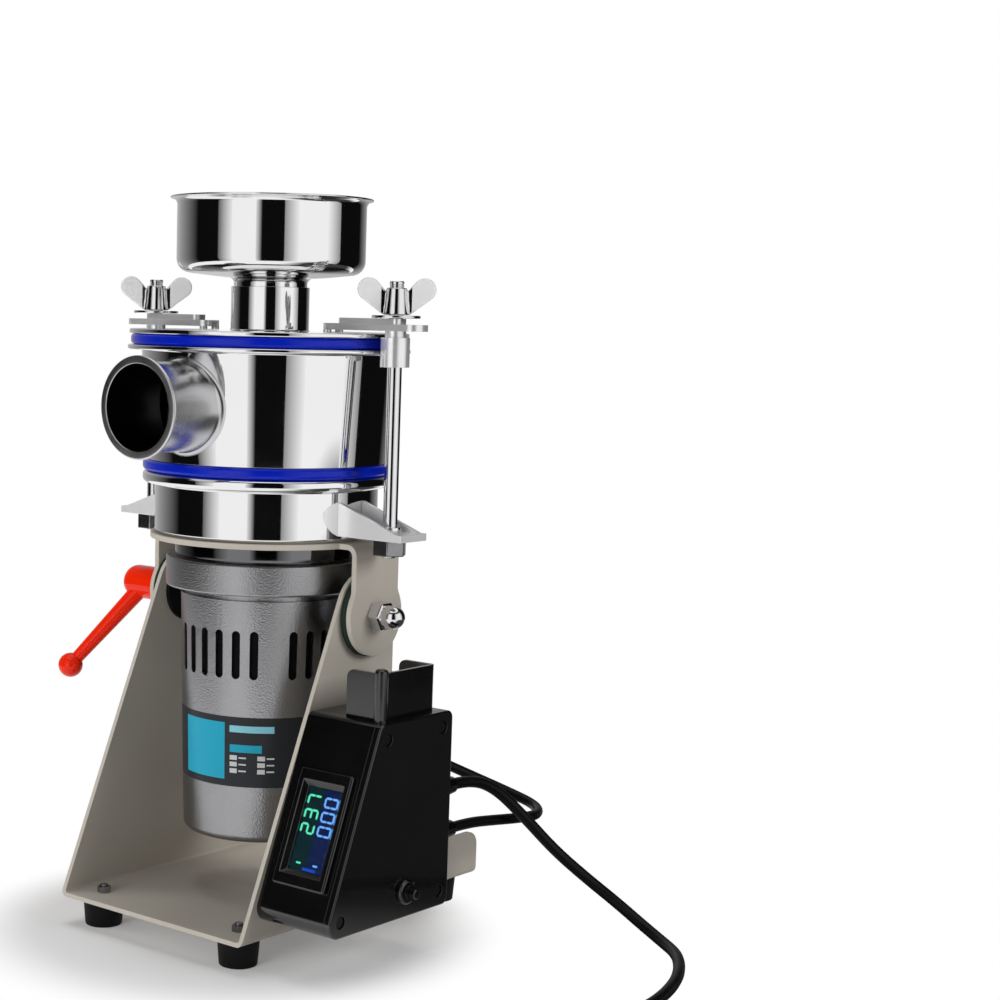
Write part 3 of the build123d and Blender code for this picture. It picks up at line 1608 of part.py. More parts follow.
mains_points = [
    (gland_x, gland_tip, mains_gland_z),
    (gland_x, gland_tip + mains_straight, mains_gland_z),
    *[
        (gland_x + x, gland_tip + y, mains_cord_radius + share * mains_fall)
        for x, y, share in mains_route
    ],
    (coil_start[0], coil_start[1] + mains_straight, mains_cord_radius),
    coil_start,
]
save(cord_tube("mains cord", mains_points, mains_cord_radius), "mains_cord")

# The coil winds in on the floor, climbs half a turn across, and winds out on top
coil_half_turns = 2 * coil_layer_half_turns + 1
coil_step = coil_pitch / 2
coil_joints = []
for joint in range(coil_half_turns + 1):
    steps_in = min(joint, coil_half_turns - joint)
    reach = coil_outer_radius - steps_in * coil_step
    level = mains_cord_radius + (coil_rise if joint > coil_layer_half_turns else 0)
    coil_joints.append(Vector(coil_x + (reach if joint % 2 else -reach), coil_y, level))
coil_end = coil_joints[-1] + Vector(0, coil_tail, 0)

with BuildPart() as mains_coil:
    with BuildLine() as winding:
        Line(coil_start, coil_joints[0])
        for joint in range(coil_half_turns):
            here = coil_joints[joint]
            there = coil_joints[joint + 1]
            swing = Vector(0, (there - here).length / 2 * (1 if joint % 2 else -1), 0)
            ThreePointArc(here, (here + there) * 0.5 + swing, there)
        Line(coil_joints[-1], coil_end)
    with BuildSketch(Plane(origin=winding.wire() @ 0, z_dir=winding.wire() % 0)):
        Circle(mains_cord_radius)
    sweep()
save(mains_coil.part, "mains_coil")

winding_length = winding.wire().length
samples = [winding.wire().position_at(index / coil_samples) for index in range(coil_samples + 1)]
apart = int(coil_samples * 4 * mains_cord_radius / winding_length)
least_gap = min(
    (samples[first] - samples[second]).length
    for first in range(coil_samples + 1)
    for second in range(first + apart, coil_samples + 1)
) - 2 * mains_cord_radius
print("coil length", round(winding_length, 1), "least gap to itself", round(least_gap, 2))

plug_half_height = coil_joints[-1].Z
plug_plane = Plane(origin=coil_end, x_dir=(1, 0, 0), z_dir=(0, 1, 0))

with BuildPart() as mains_plug:
    with BuildSketch(plug_plane):
        RectangleRounded(plug_tail_width, plug_tail_width, plug_corner)
    with BuildSketch(plug_plane.offset(plug_length)):
        RectangleRounded(plug_nose_width, 2 * plug_half_height, plug_corner)
    loft()
    with BuildSketch(plug_plane.offset(plug_length)):
        with Locations((-pin_spacing / 2, 0), (pin_spacing / 2, 0)):
            Circle(pin_radius)
    extrude(amount=pin_length)
save(mains_plug.part, "mains_plug")
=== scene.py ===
"""Studio picture of a bench-top powder grinder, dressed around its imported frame."""

import json
import logging
import math
from dataclasses import dataclass
from enum import Enum
from typing import Any, Callable, ClassVar, Iterable, Sequence

import bmesh
import bpy
from bpy.types import Material, Mesh, Node, NodeSocket, NodeTree, Object
from mathutils import Matrix, Vector
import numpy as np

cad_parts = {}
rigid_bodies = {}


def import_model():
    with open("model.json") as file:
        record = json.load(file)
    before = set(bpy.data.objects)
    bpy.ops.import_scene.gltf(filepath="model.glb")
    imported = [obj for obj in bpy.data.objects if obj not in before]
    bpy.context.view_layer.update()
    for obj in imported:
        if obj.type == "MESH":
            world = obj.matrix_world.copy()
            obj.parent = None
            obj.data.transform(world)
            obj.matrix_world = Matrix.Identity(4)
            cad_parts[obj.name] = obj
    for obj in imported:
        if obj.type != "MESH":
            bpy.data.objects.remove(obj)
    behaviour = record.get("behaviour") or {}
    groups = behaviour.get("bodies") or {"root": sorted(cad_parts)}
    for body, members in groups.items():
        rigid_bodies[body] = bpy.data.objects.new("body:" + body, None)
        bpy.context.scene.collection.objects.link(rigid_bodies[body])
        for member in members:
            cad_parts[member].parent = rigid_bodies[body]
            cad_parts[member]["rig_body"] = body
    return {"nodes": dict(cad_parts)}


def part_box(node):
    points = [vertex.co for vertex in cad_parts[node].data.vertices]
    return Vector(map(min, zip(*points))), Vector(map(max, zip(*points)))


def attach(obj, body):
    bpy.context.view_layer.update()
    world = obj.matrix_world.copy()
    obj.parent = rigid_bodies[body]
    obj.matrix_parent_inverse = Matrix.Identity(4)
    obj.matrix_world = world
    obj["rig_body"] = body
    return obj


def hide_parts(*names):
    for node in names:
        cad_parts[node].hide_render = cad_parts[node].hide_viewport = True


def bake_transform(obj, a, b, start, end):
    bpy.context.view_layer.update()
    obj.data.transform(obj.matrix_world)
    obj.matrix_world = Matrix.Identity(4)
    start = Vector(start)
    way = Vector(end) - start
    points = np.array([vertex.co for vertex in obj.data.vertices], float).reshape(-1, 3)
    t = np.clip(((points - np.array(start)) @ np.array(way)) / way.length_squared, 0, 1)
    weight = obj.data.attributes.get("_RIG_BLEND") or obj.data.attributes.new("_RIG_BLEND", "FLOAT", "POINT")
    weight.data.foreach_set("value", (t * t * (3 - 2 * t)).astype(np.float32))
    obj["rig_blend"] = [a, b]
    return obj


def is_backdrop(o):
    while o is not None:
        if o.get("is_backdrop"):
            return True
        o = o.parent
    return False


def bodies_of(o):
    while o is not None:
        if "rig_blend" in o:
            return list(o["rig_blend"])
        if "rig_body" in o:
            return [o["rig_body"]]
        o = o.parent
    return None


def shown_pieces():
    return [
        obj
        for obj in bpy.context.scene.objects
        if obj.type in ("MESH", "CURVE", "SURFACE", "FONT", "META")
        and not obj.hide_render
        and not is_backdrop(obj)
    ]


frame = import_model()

log = logging.getLogger("powder_grinder")

MM = 0.001
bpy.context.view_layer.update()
UP = Vector((0.0, 0.0, 1.0))

Colour = tuple[float, float, float]
Point = Sequence[float]
Corner = tuple[float, float, float]
Flat = tuple[float, float]
Span = tuple[float, float, float, float]
Faces = list[Sequence[int]]
Solid = tuple[list[Point], Faces]

MERGE_REACH = 1e-7
COPY_MERGE_REACH = 1e-6
NO_LENGTH = 1e-9
FLAT_ANGLE = 1.0
CREASE_ANGLE = 32.0
MOULDED_ANGLE = 60.0
FINE_TURN = 192

MOTTLE_RANGE = (0.35, 0.65)
SMUDGE_SCALE = 30.0
COAT_ROUGHNESS = 0.06
DISPLAY_BASE = (0.004, 0.004, 0.005, 1.0)
DISPLAY_DIM = 0.7
SHEET_IOR = 1.25
FLAG_BLACK = 0.004


class Body(Enum):
    """Bodies of the frame that pieces ride on."""

    STAND = "stand"
    HEAD = "tilt_head"


class Texture(Enum):
    """Ways in which a surface is uneven."""

    GRAIN = "paint_grain"
    HAMMER = "hammer_dimples"
    BRUSHED = "brush_lines"


def rgb(red: int, green: int, blue: int) -> Colour:
    """Turn screen values from 0 to 255 into a linear colour.

    Args:
        red: Red on screen.
        green: Green on screen.
        blue: Blue on screen.

    Returns:
        The linear colour.
    """

    def channel(value: int) -> float:
        """One channel from screen to linear."""
        part = value / 255
        return part / 12.92 if part <= 0.04045 else ((part + 0.055) / 1.055) ** 2.4

    return channel(red), channel(green), channel(blue)


def opaque(colour: Colour) -> tuple[float, float, float, float]:
    """A colour with full alpha."""
    return (*colour, 1.0)


class Shader:
    """A node tree with short calls that add nodes and join sockets."""

    def __init__(self, tree: NodeTree) -> None:
        """Keep the tree to build in."""
        self.tree = tree

    def fill(self, node: Node, inputs: dict[str | int, Any]) -> None:
        """Link inputs of a node to other sockets, or set their values.

        Args:
            node: The node.
            inputs: An output socket or a plain value for each input, by name or number.
        """
        for name, value in inputs.items():
            if isinstance(value, NodeSocket):
                self.tree.links.new(value, node.inputs[name])
            else:
                node.inputs[name].default_value = value

    def add(self, kind: str, inputs: dict[str | int, Any] | None = None, **settings: Any) -> Node:
        """Add a node.

        Args:
            kind: The node's type name.
            inputs: What its inputs hold, by name or number.
            settings: The node's own settings.

        Returns:
            The new node.
        """
        node = self.tree.nodes.new(kind)
        for name, value in settings.items():
            setattr(node, name, value)
        self.fill(node, inputs or {})
        return node

    def group(self, tree: NodeTree, **inputs: Any) -> Node:
        """Place a shared effect.

        Args:
            tree: The effect's node group.
            inputs: Its named inputs, with underscores for spaces.

        Returns:
            The group node.
        """
        node = self.add("ShaderNodeGroup", node_tree=tree)
        self.fill(node, {name.replace("_", " ").capitalize(): value for name, value in inputs.items()})
        return node

    def math(self, operation: str, first: Any, second: Any = 0.0) -> NodeSocket:
        """Work out one sum."""
        return self.add("ShaderNodeMath", {0: first, 1: second}, operation=operation).outputs["Value"]

    def vector(self, operation: str, first: Any, second: Point = (0.0, 0.0, 0.0)) -> Any:
        """Work out one sum of vectors, and give the outputs of its node."""
        return self.add("ShaderNodeVectorMath", {0: first, 1: second}, operation=operation).outputs

    def place(self) -> NodeSocket:
        """The object's own coordinates."""
        return self.add("ShaderNodeTexCoord").outputs["Object"]

    def noise(self, place: NodeSocket, scale: Any, detail: float, roughness: float = 0.5) -> NodeSocket:
        """A cloudy pattern from 0 to 1."""
        inputs = {"Vector": place, "Scale": scale, "Detail": detail, "Roughness": roughness}
        return self.add("ShaderNodeTexNoise", inputs).outputs["Fac"]

    def ranged(self, value: Any, source: Flat, result: tuple[Any, Any] = (0.0, 1.0), **settings: Any
               ) -> NodeSocket:
        """Carry a value from one range over to another.

        Args:
            value: The value's socket.
            source: Ends of the range that it comes from.
            result: Ends of the range that it goes to.
            settings: Settings of the node.

        Returns:
            The result's socket.
        """
        inputs = {"Value": value, "From Min": source[0], "From Max": source[1]}
        inputs |= {"To Min": result[0], "To Max": result[1]}
        return self.add("ShaderNodeMapRange", inputs, **settings).outputs["Result"]

    def mixed(self, share: NodeSocket, first: Colour, second: Colour) -> NodeSocket:
        """A colour between two others."""
        inputs = {0: share, 6: opaque(first), 7: opaque(second)}
        return self.add("ShaderNodeMix", inputs, data_type="RGBA").outputs[2]

    def light(self, strength: Any) -> NodeSocket:
        """White light of a given strength."""
        return self.add("ShaderNodeEmission", {"Strength": strength}).outputs["Emission"]

    def either(self, share: NodeSocket, first: NodeSocket, second: NodeSocket) -> NodeSocket:
        """A surface between two others."""
        return self.add("ShaderNodeMixShader", {0: share, 1: first, 2: second}).outputs["Shader"]


class Effects:
    """Shared surface effects, each a node group that is built once."""

    def __init__(self) -> None:
        """Start with no groups."""
        self.built: dict[str, NodeTree] = {}

    def fetch(self, name: str, build: Callable[[Shader, Any], dict[str, NodeSocket]],
              inputs: dict[str, float], outputs: Sequence[str]) -> NodeTree:
        """Give a group, building it on first use.

        Args:
            name: The group's name.
            build: Fills the group from its inputs, and gives what its outputs hold.
            inputs: Input names with their defaults.
            outputs: Output names.

        Returns:
            The node group.
        """
        if name not in self.built:
            tree = self.built[name] = bpy.data.node_groups.new(name, "ShaderNodeTree")
            for label, value in inputs.items():
                socket = tree.interface.new_socket(label, in_out="INPUT", socket_type="NodeSocketFloat")
                socket.default_value = value
            for label in outputs:
                tree.interface.new_socket(label, in_out="OUTPUT", socket_type="NodeSocketFloat")
            shader = Shader(tree)
            start = shader.add("NodeGroupInput").outputs
            end = shader.add("NodeGroupOutput")
            shader.fill(end, build(shader, start))
        return self.built[name]

    def texture(self, kind: Texture) -> NodeTree:
        """An uneven surface: a height for bump and a slow mottle.

        Args:
            kind: Which unevenness.

        Returns:
            The node group.
        """

        def build(shader: Shader, start: Any) -> dict[str, NodeSocket]:
            """Fill the texture's group."""
            place = shader.place()
            if kind is Texture.HAMMER:
                inputs = {"Vector": place, "Scale": start["Scale"], "Smoothness": 0.6}
                height = shader.add("ShaderNodeTexVoronoi", inputs, feature="SMOOTH_F1").outputs["Distance"]
            else:
                if kind is Texture.BRUSHED:
                    stretch = {"Vector": place, "Scale": (0.04, 1.0, 1.0)}
                    place = shader.add("ShaderNodeMapping", stretch).outputs["Vector"]
                height = shader.noise(place, start["Scale"], detail=3.0, roughness=0.55)
            return {"Height": height, "Mottle": shader.noise(place, start["Mottle scale"], detail=2.0)}

        return self.fetch(kind.value, build, {"Scale": 1500.0, "Mottle scale": 14.0}, ("Height", "Mottle"))

    def smudge(self) -> NodeTree:
        """Handling marks: a roughness that drifts between two values."""

        def build(shader: Shader, start: Any) -> dict[str, NodeSocket]:
            """Fill the smudge group."""
            cloud = shader.noise(shader.place(), start["Scale"], detail=5.0, roughness=0.6)
            return {"Roughness": shader.ranged(cloud, (0.35, 0.7), (start["Low"], start["High"]))}

        inputs = {"Scale": SMUDGE_SCALE, "Low": 0.1, "High": 0.2}
        return self.fetch("handling_smudge", build, inputs, ("Roughness",))

    def wear(self) -> NodeTree:
        """Edge wear: a mask that is high on outward edges."""

        def build(shader: Shader, start: Any) -> dict[str, NodeSocket]:
            """Fill the edge wear group."""
            bend = shader.add("ShaderNodeNewGeometry").outputs["Pointiness"]
            patch = shader.noise(shader.place(), start["Scale"], detail=4.0)
            worn = shader.math("MULTIPLY", shader.ranged(bend, (0.52, 0.64)), patch)
            return {"Mask": shader.math("MULTIPLY", worn, start["Amount"])}

        return self.fetch("edge_wear", build, {"Scale": 90.0, "Amount": 1.0}, ("Mask",))


EFFECTS = Effects()
PALETTE: dict[str, Material] = {}


def new_material(name: str) -> tuple[Material, Shader, Node]:
    """Start the material of a finish.

    Args:
        name: The finish's name.

    Returns:
        The material, its tree and its surface node.
    """
    made = PALETTE[name] = bpy.data.materials.new(f"{name}_finish")
    made.use_nodes = True
    return made, Shader(made.node_tree), made.node_tree.nodes["Principled BSDF"]


def stage_material(name: str) -> tuple[Material, Shader]:
    """Start an empty material for the stage, which lights nothing as a lamp.

    Args:
        name: The material's name.

    Returns:
        The material and its tree.
    """
    made = bpy.data.materials.new(name)
    made.use_nodes = True
    made.cycles.emission_sampling = "NONE"
    made.node_tree.nodes.clear()
    return made, Shader(made.node_tree)


@dataclass(frozen=True)
class Finish:
    """A surface finish: colour, gloss and the marks that its making leaves.

    Args:
        name: The material's name.
        slot: The record's material slot.
        colour: Main colour.
        second: Colour that the mottle and the worn edges lean to.
        metallic: 1 for bare metal.
        rough: Lowest and highest roughness.
        texture: How the surface is uneven.
        grain_scale: How fine the texture is, in cells per metre.
        grain_depth: Height of the texture in metres.
        mottle: How far the second colour shows in the mottle, from 0 to 1.
        wear: How far the second colour shows on edges.
        coat: Weight of a clear coat.
        specular: Specular level.
    """

    name: str
    slot: str
    colour: Colour
    second: Colour
    metallic: float = 0.0
    rough: Flat = (0.3, 0.4)
    texture: Texture = Texture.GRAIN
    grain_scale: float = 1200.0
    grain_depth: float = 0.00002
    mottle: float = 0.3
    wear: float = 0.0
    coat: float = 0.0
    specular: float = 0.5

    def material(self) -> Material:
        """Give the finish's material, making it on first use."""
        if self.name in PALETTE:
            return PALETTE[self.name]
        made, shader, surface = new_material(self.name)
        grain = shader.group(EFFECTS.texture(self.texture), scale=self.grain_scale).outputs
        low, high = self.rough
        smudge = shader.group(EFFECTS.smudge(), scale=SMUDGE_SCALE, low=low, high=high)
        share = shader.ranged(grain["Mottle"], MOTTLE_RANGE, (0.0, self.mottle))
        if self.wear > 0:
            worn = shader.group(EFFECTS.wear(), amount=self.wear)
            share = shader.math("MAXIMUM", share, worn.outputs["Mask"])
        uneven = {"Height": grain["Height"], "Distance": self.grain_depth, "Strength": 1.0}
        shader.fill(surface, {
            "Base Color": shader.mixed(share, self.colour, self.second),
            "Roughness": smudge.outputs["Roughness"],
            "Metallic": self.metallic,
            "Coat Weight": self.coat,
            "Coat Roughness": COAT_ROUGHNESS,
            "Specular IOR Level": self.specular,
            "Normal": shader.add("ShaderNodeBump", uneven).outputs["Normal"],
        })
        return made


@dataclass(frozen=True)
class Glow:
    """A lit part of a display.

    Args:
        name: The material's name.
        colour: Colour of its light.
        strength: How strong it is, with 1 for the colour as written.
        slot: The record's material slot; not used.
    """

    name: str
    colour: Colour
    strength: float = 1.0
    slot: str = "lit_display"

    def material(self) -> Material:
        """Give the display's material, making it on first use."""
        if self.name in PALETTE:
            return PALETTE[self.name]
        made, shader, surface = new_material(self.name)
        grain = shader.group(EFFECTS.texture(Texture.GRAIN), scale=900.0, mottle_scale=60.0)
        share = shader.ranged(grain.outputs["Mottle"], (0.3, 0.7), (0.0, 0.25))
        dimmer = tuple(DISPLAY_DIM * part for part in self.colour)
        shader.fill(surface, {
            "Base Color": DISPLAY_BASE,
            "Roughness": 0.35,
            "Specular IOR Level": 0.2,
            "Emission Color": shader.mixed(share, self.colour, dimmer),
            "Emission Strength": self.strength,
        })
        return made


@dataclass(frozen=True)
class Glass:
    """Clear sheet over the display.

    Args:
        name: The material's name.
        tint: Colour that it lets through.
        slot: The record's material slot; not used.
    """

    name: str
    tint: Colour
    slot: str = "smoked_window"

    def material(self) -> Material:
        """Give the sheet's material, making it on first use."""
        if self.name in PALETTE:
            return PALETTE[self.name]
        made, shader, surface = new_material(self.name)
        smudge = shader.group(EFFECTS.smudge(), scale=60.0, low=0.01, high=0.05)
        shader.fill(surface, {
            "Base Color": opaque(self.tint),
            "Transmission Weight": 1.0,
            "IOR": SHEET_IOR,
            "Roughness": smudge.outputs["Roughness"],
        })
        return made


Dressing = Finish | Glow | Glass


def film(name: str, colour: Colour, second: Colour, rough: Flat = (0.28, 0.36)) -> Finish:
    """Print on the motor's label."""
    return Finish(name, "black_plastic", colour, second, rough=rough, grain_depth=0.000003, specular=0.2)


POWDER_COAT = Finish("powder_coat", "powder_coat", rgb(198, 191, 180), rgb(188, 181, 170),
                     rough=(0.42, 0.52), grain_scale=1800.0, grain_depth=0.00003, mottle=0.5, specular=0.2)
POLISHED_STEEL = Finish("polished_steel", "polished_steel", (0.86, 0.86, 0.865), (0.76, 0.76, 0.77),
                        metallic=1.0, rough=(0.03, 0.065), grain_scale=400.0, grain_depth=0.0000004)
SPUN_STEEL = Finish("spun_steel", "polished_steel", (0.62, 0.62, 0.625), (0.5, 0.5, 0.51), metallic=1.0,
                    rough=(0.2, 0.3), grain_scale=1500.0, grain_depth=0.000002)
# Rougher steel on the spout's lip face; its lighter colour is a painted highlight.
LIP_STEEL_HIGHLIGHT = Finish("lip_steel_highlight", "polished_steel", (0.76, 0.76, 0.765), (0.66, 0.66, 0.67), metallic=1.0,
                   rough=(0.28, 0.38), grain_scale=1500.0, grain_depth=0.000002)
# Painted shade: near-black steel inside the spout's bore stands in for the shade in the tube.
SPOUT_BORE_SHADE = Finish("spout_bore", "polished_steel", (0.035, 0.034, 0.034), (0.02, 0.02, 0.02), metallic=1.0,
                    rough=(0.3, 0.42), grain_depth=0.000004)
CAST_RING = Finish("cast_ring", "cast_ring", (0.17, 0.17, 0.175), (0.11, 0.11, 0.115), metallic=1.0,
                   rough=(0.05, 0.12), grain_depth=0.000002)
BRIGHT_HARDWARE = Finish("bright_hardware", "bright_hardware", (0.8, 0.8, 0.81), (0.68, 0.68, 0.69),
                         metallic=1.0, rough=(0.06, 0.13), grain_depth=0.000002)
PLATED_STEEL = Finish("plated_steel", "bright_hardware", (0.9, 0.9, 0.905), (0.82, 0.82, 0.83),
                      metallic=0.6, rough=(0.16, 0.26), grain_depth=0.000002)
SATIN_STEEL = Finish("satin_steel", "bright_hardware", (0.95, 0.95, 0.955), (0.88, 0.88, 0.89),
                     metallic=0.3, rough=(0.16, 0.26), texture=Texture.BRUSHED, grain_scale=3000.0,
                     grain_depth=0.000003, mottle=0.5)
CAST_ZINC = Finish("cast_zinc", "bright_hardware", (0.97, 0.97, 0.975), (0.92, 0.92, 0.93), metallic=0.1,
                   rough=(0.2, 0.3), grain_scale=900.0, grain_depth=0.000004, mottle=0.4)
DARK_HARDWARE = Finish("dark_hardware", "bright_hardware", (0.2, 0.2, 0.205), (0.45, 0.45, 0.46),
                       metallic=1.0, rough=(0.18, 0.3), wear=1.4, grain_depth=0.000004)
BLACK_SCREW = Finish("black_screw", "bright_hardware", (0.012, 0.012, 0.012), (0.03, 0.03, 0.03),
                     metallic=0.7, wear=1.0)
TURNED_STEEL = Finish("turned_steel", "turned_steel", (0.58, 0.58, 0.59), (0.48, 0.48, 0.49), metallic=1.0,
                      rough=(0.18, 0.3))
CORE_STEEL = Finish("core_steel", "core_steel", (0.3, 0.3, 0.31), (0.22, 0.22, 0.22), metallic=0.9,
                    rough=(0.4, 0.55))
COPPER_WIRE = Finish("copper_wire", "copper", (0.42, 0.17, 0.06), (0.28, 0.1, 0.04), metallic=1.0,
                     rough=(0.3, 0.45))
HAMMERTONE = Finish("hammertone", "hammertone", (0.36, 0.36, 0.37), (0.44, 0.44, 0.45), metallic=1.0,
                    rough=(0.28, 0.36), texture=Texture.HAMMER, grain_scale=1000.0, grain_depth=0.00013,
                    mottle=0.4, specular=0.3)
BLUE_SILICONE = Finish("blue_silicone", "blue_silicone", rgb(8, 36, 184), rgb(7, 29, 166),
                       rough=(0.12, 0.22), grain_depth=0.000003, specular=0.25)
BLACK_RUBBER = Finish("black_rubber", "black_rubber", rgb(12, 12, 12), rgb(20, 20, 20), rough=(0.5, 0.65),
                      grain_depth=0.00003, specular=0.15)
FRICTION_FIBRE = Finish("friction_fibre", "friction_fibre", rgb(38, 52, 44), rgb(28, 38, 33),
                        rough=(0.55, 0.7), grain_depth=0.00005, specular=0.2)
BLACK_PLASTIC = Finish("black_plastic", "black_plastic", rgb(9, 9, 10), rgb(13, 13, 14), rough=(0.16, 0.24),
                       grain_scale=2200.0, grain_depth=0.000004, specular=0.6, coat=0.6)
# Painted shade: a near-black sheet behind the motor's vents stands in for the shade inside the motor.
VENT_SHADE_SHEET = Finish("vent_shade_sheet", "black_plastic", rgb(8, 8, 8), rgb(14, 14, 14), rough=(0.6, 0.7),
                    specular=0.1)
CARBON = Finish("carbon", "carbon", rgb(36, 36, 38), rgb(50, 50, 52), rough=(0.5, 0.6))
RED_PLASTIC = Finish("red_plastic", "red_plastic", rgb(250, 42, 6), rgb(240, 36, 5), rough=(0.1, 0.15),
                     grain_scale=300.0, grain_depth=0.000001, specular=0.3)
CORD_JACKET = Finish("cord_jacket", "cord_pvc", rgb(10, 10, 11), rgb(16, 16, 17), rough=(0.34, 0.46),
                     grain_scale=2500.0, grain_depth=0.000006, specular=0.2)
TIE_CLOTH = Finish("tie_cloth", "cord_pvc", rgb(20, 20, 21), rgb(30, 30, 31), rough=(0.6, 0.75),
                   grain_scale=1600.0, grain_depth=0.00008, specular=0.15)
LABEL_FILM = film("label_film", rgb(44, 46, 50), rgb(38, 40, 44))
LABEL_CYAN = film("label_cyan", rgb(38, 166, 196), rgb(32, 152, 182))
LABEL_PALE = film("label_pale", rgb(140, 206, 222), rgb(126, 194, 212))
LABEL_WHITE = film("label_white", rgb(206, 208, 210), rgb(194, 196, 198), (0.3, 0.4))
METER_BOARD = Finish("meter_board", "lit_display", rgb(6, 8, 12), rgb(8, 10, 16), specular=0.2)
GREEN_FIELD = Glow("green_field", rgb(6, 34, 38))
BLUE_FIELD = Glow("blue_field", rgb(10, 26, 70))
GREEN_DIGIT = Glow("green_digit", rgb(92, 238, 184), 1.1)
BLUE_DIGIT = Glow("blue_digit", rgb(112, 176, 255), 1.1)
EDGE_GLOW = Glow("edge_glow", rgb(24, 74, 190))
WINDOW_SHEET = Glass("window_sheet", (0.92, 0.95, 0.98))

NODES_OF_FINISH: dict[Finish, str] = {
    POWDER_COAT: "base_frame yoke",
    POLISHED_STEEL: "lower_bowl chamber lid hopper",
    CAST_RING: "motor_mount_ring",
    BRIGHT_HARDWARE: "pivot_nut clamp_rods clamp_washers motor_screws",
    CAST_ZINC: "wing_nut_left wing_nut_right",
    PLATED_STEEL: "clamp_arm_left clamp_arm_right",
    SATIN_STEEL: "ear_brackets",
    DARK_HARDWARE: "foot_bolts foot_nuts rod_nuts pivot_bolts",
    BLACK_SCREW: "box_mount_screws box_cover_screws",
    TURNED_STEEL: "rotor_shaft blade_hub blades rotor_nut motor_bearings sieve_ring",
    CORE_STEEL: "stator_core armature",
    COPPER_WIRE: "stator_windings commutator",
    HAMMERTONE: "motor_can motor_end_bell",
    BLUE_SILICONE: "chamber_seals",
    BLACK_RUBBER: "rubber_feet shaft_seal lead_grommet pivot_inner_washers",
    FRICTION_FIBRE: "friction_pads friction_discs",
    BLACK_PLASTIC: "box_shell box_cover switch_turret switch_body switch_rocker breaker_body breaker_nut "
                   "reset_button meter_case cooling_fan cord_glands",
    CARBON: "brush_holders",
    RED_PLASTIC: "lock_lever",
    METER_BOARD: "meter_window meter_board",
    CORD_JACKET: "mains_cord mains_coil mains_plug motor_lead",
}
FINISH_OF_NODE = {node: finish for finish, nodes in NODES_OF_FINISH.items() for node in nodes.split()}


def body_of(node: str) -> str:
    """The body that a CAD node belongs to."""
    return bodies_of(frame["nodes"][node])[0]


def dress(piece: Object, finish: Dressing) -> None:
    """Give a piece one finish all over."""
    piece.data.materials.clear()
    piece.data.materials.append(finish.material())


def smooth(mesh: Mesh, angle: float) -> None:
    """Shade a mesh smooth, with sharp edges above an angle in degrees."""
    mesh.shade_smooth()
    mesh.set_sharp_from_angle(angle=math.radians(angle))


def placed(name: str, data: bpy.types.ID) -> Object:
    """Put an object into the scene.

    Args:
        name: The object's name.
        data: Its mesh, curve, lamp or camera.

    Returns:
        The object.
    """
    thing = bpy.data.objects.new(name, data)
    bpy.context.scene.collection.objects.link(thing)
    return thing


def stand_in(name: str, mesh: Mesh, finish: Dressing, body: str, nodes: Sequence[str] = ()) -> Object:
    """Put a finished mesh into the scene.

    Args:
        name: The piece's name.
        mesh: Its mesh, in metres.
        finish: Its finish.
        body: The body that it rides on.
        nodes: CAD nodes that it stands for.

    Returns:
        The new piece.
    """
    piece = placed(name, mesh)
    dress(piece, finish)
    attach(piece, body)
    if nodes:
        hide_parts(*nodes)
    return piece


def mesh_from(name: str, points: Iterable[Point], faces: Iterable[Sequence[int]], angle: float = 40.0
              ) -> Mesh:
    """Make a clean, smooth mesh from points in millimetres.

    Args:
        name: The mesh's name.
        points: Its points.
        faces: Its faces, as point numbers.
        angle: Edges sharper than this stay sharp, in degrees.

    Returns:
        The mesh, in metres.
    """
    mesh = bpy.data.meshes.new(name)
    metres = [[value * MM for value in point] for point in points]
    mesh.from_pydata(metres, [], [tuple(face) for face in faces])
    work = bmesh.new()
    work.from_mesh(mesh)
    bmesh.ops.remove_doubles(work, verts=work.verts, dist=MERGE_REACH)
    bmesh.ops.dissolve_degenerate(work, edges=work.edges, dist=MERGE_REACH)
    bmesh.ops.recalc_face_normals(work, faces=work.faces)
    work.to_mesh(mesh)
    work.free()
    smooth(mesh, angle)
    return mesh


def rounded(profile: Sequence[Corner], steps: int = 6) -> list[Flat]:
    """Round the corners of a closed outline.

    Args:
        profile: Corners as first and second coordinate and radius.
        steps: Runs that each arc is drawn in.

    Returns:
        The outline's points.
    """
    points: list[Flat] = []
    count = len(profile)
    for index, (first, second, radius) in enumerate(profile):
        here = Vector((first, second))
        back = Vector(profile[index - 1][:2]) - here
        ahead = Vector(profile[(index + 1) % count][:2]) - here
        if radius <= 0 or back.length < NO_LENGTH or ahead.length < NO_LENGTH:
            points.append((first, second))
            continue
        back.normalize()
        ahead.normalize()
        half = back.angle(ahead) / 2
        run = radius / math.tan(half)
        centre = here + (back + ahead).normalized() * (radius / math.sin(half))
        start, stop = here + back * run - centre, here + ahead * run - centre
        sweep = math.atan2(start.x * stop.y - start.y * stop.x, start.dot(stop))
        for step in range(steps + 1):
            spot = centre + Matrix.Rotation(sweep * step / steps, 2) @ start
            points.append((spot.x, spot.y))
    return points


def grid_faces(rows: int, columns: int, wrap_rows: bool, wrap_columns: bool) -> Faces:
    """Faces of a grid of points.

    Args:
        rows: Number of rows.
        columns: Points in a row.
        wrap_rows: Whether the last row joins the first.
        wrap_columns: Whether a row's last point joins its first.

    Returns:
        Faces as point numbers.
    """
    faces: Faces = []
    for row in range(rows if wrap_rows else rows - 1):
        for column in range(columns if wrap_columns else columns - 1):
            here, after = row * columns, (row + 1) % rows * columns
            beside = (column + 1) % columns
            faces.append((here + column, after + column, after + beside, here + beside))
    return faces


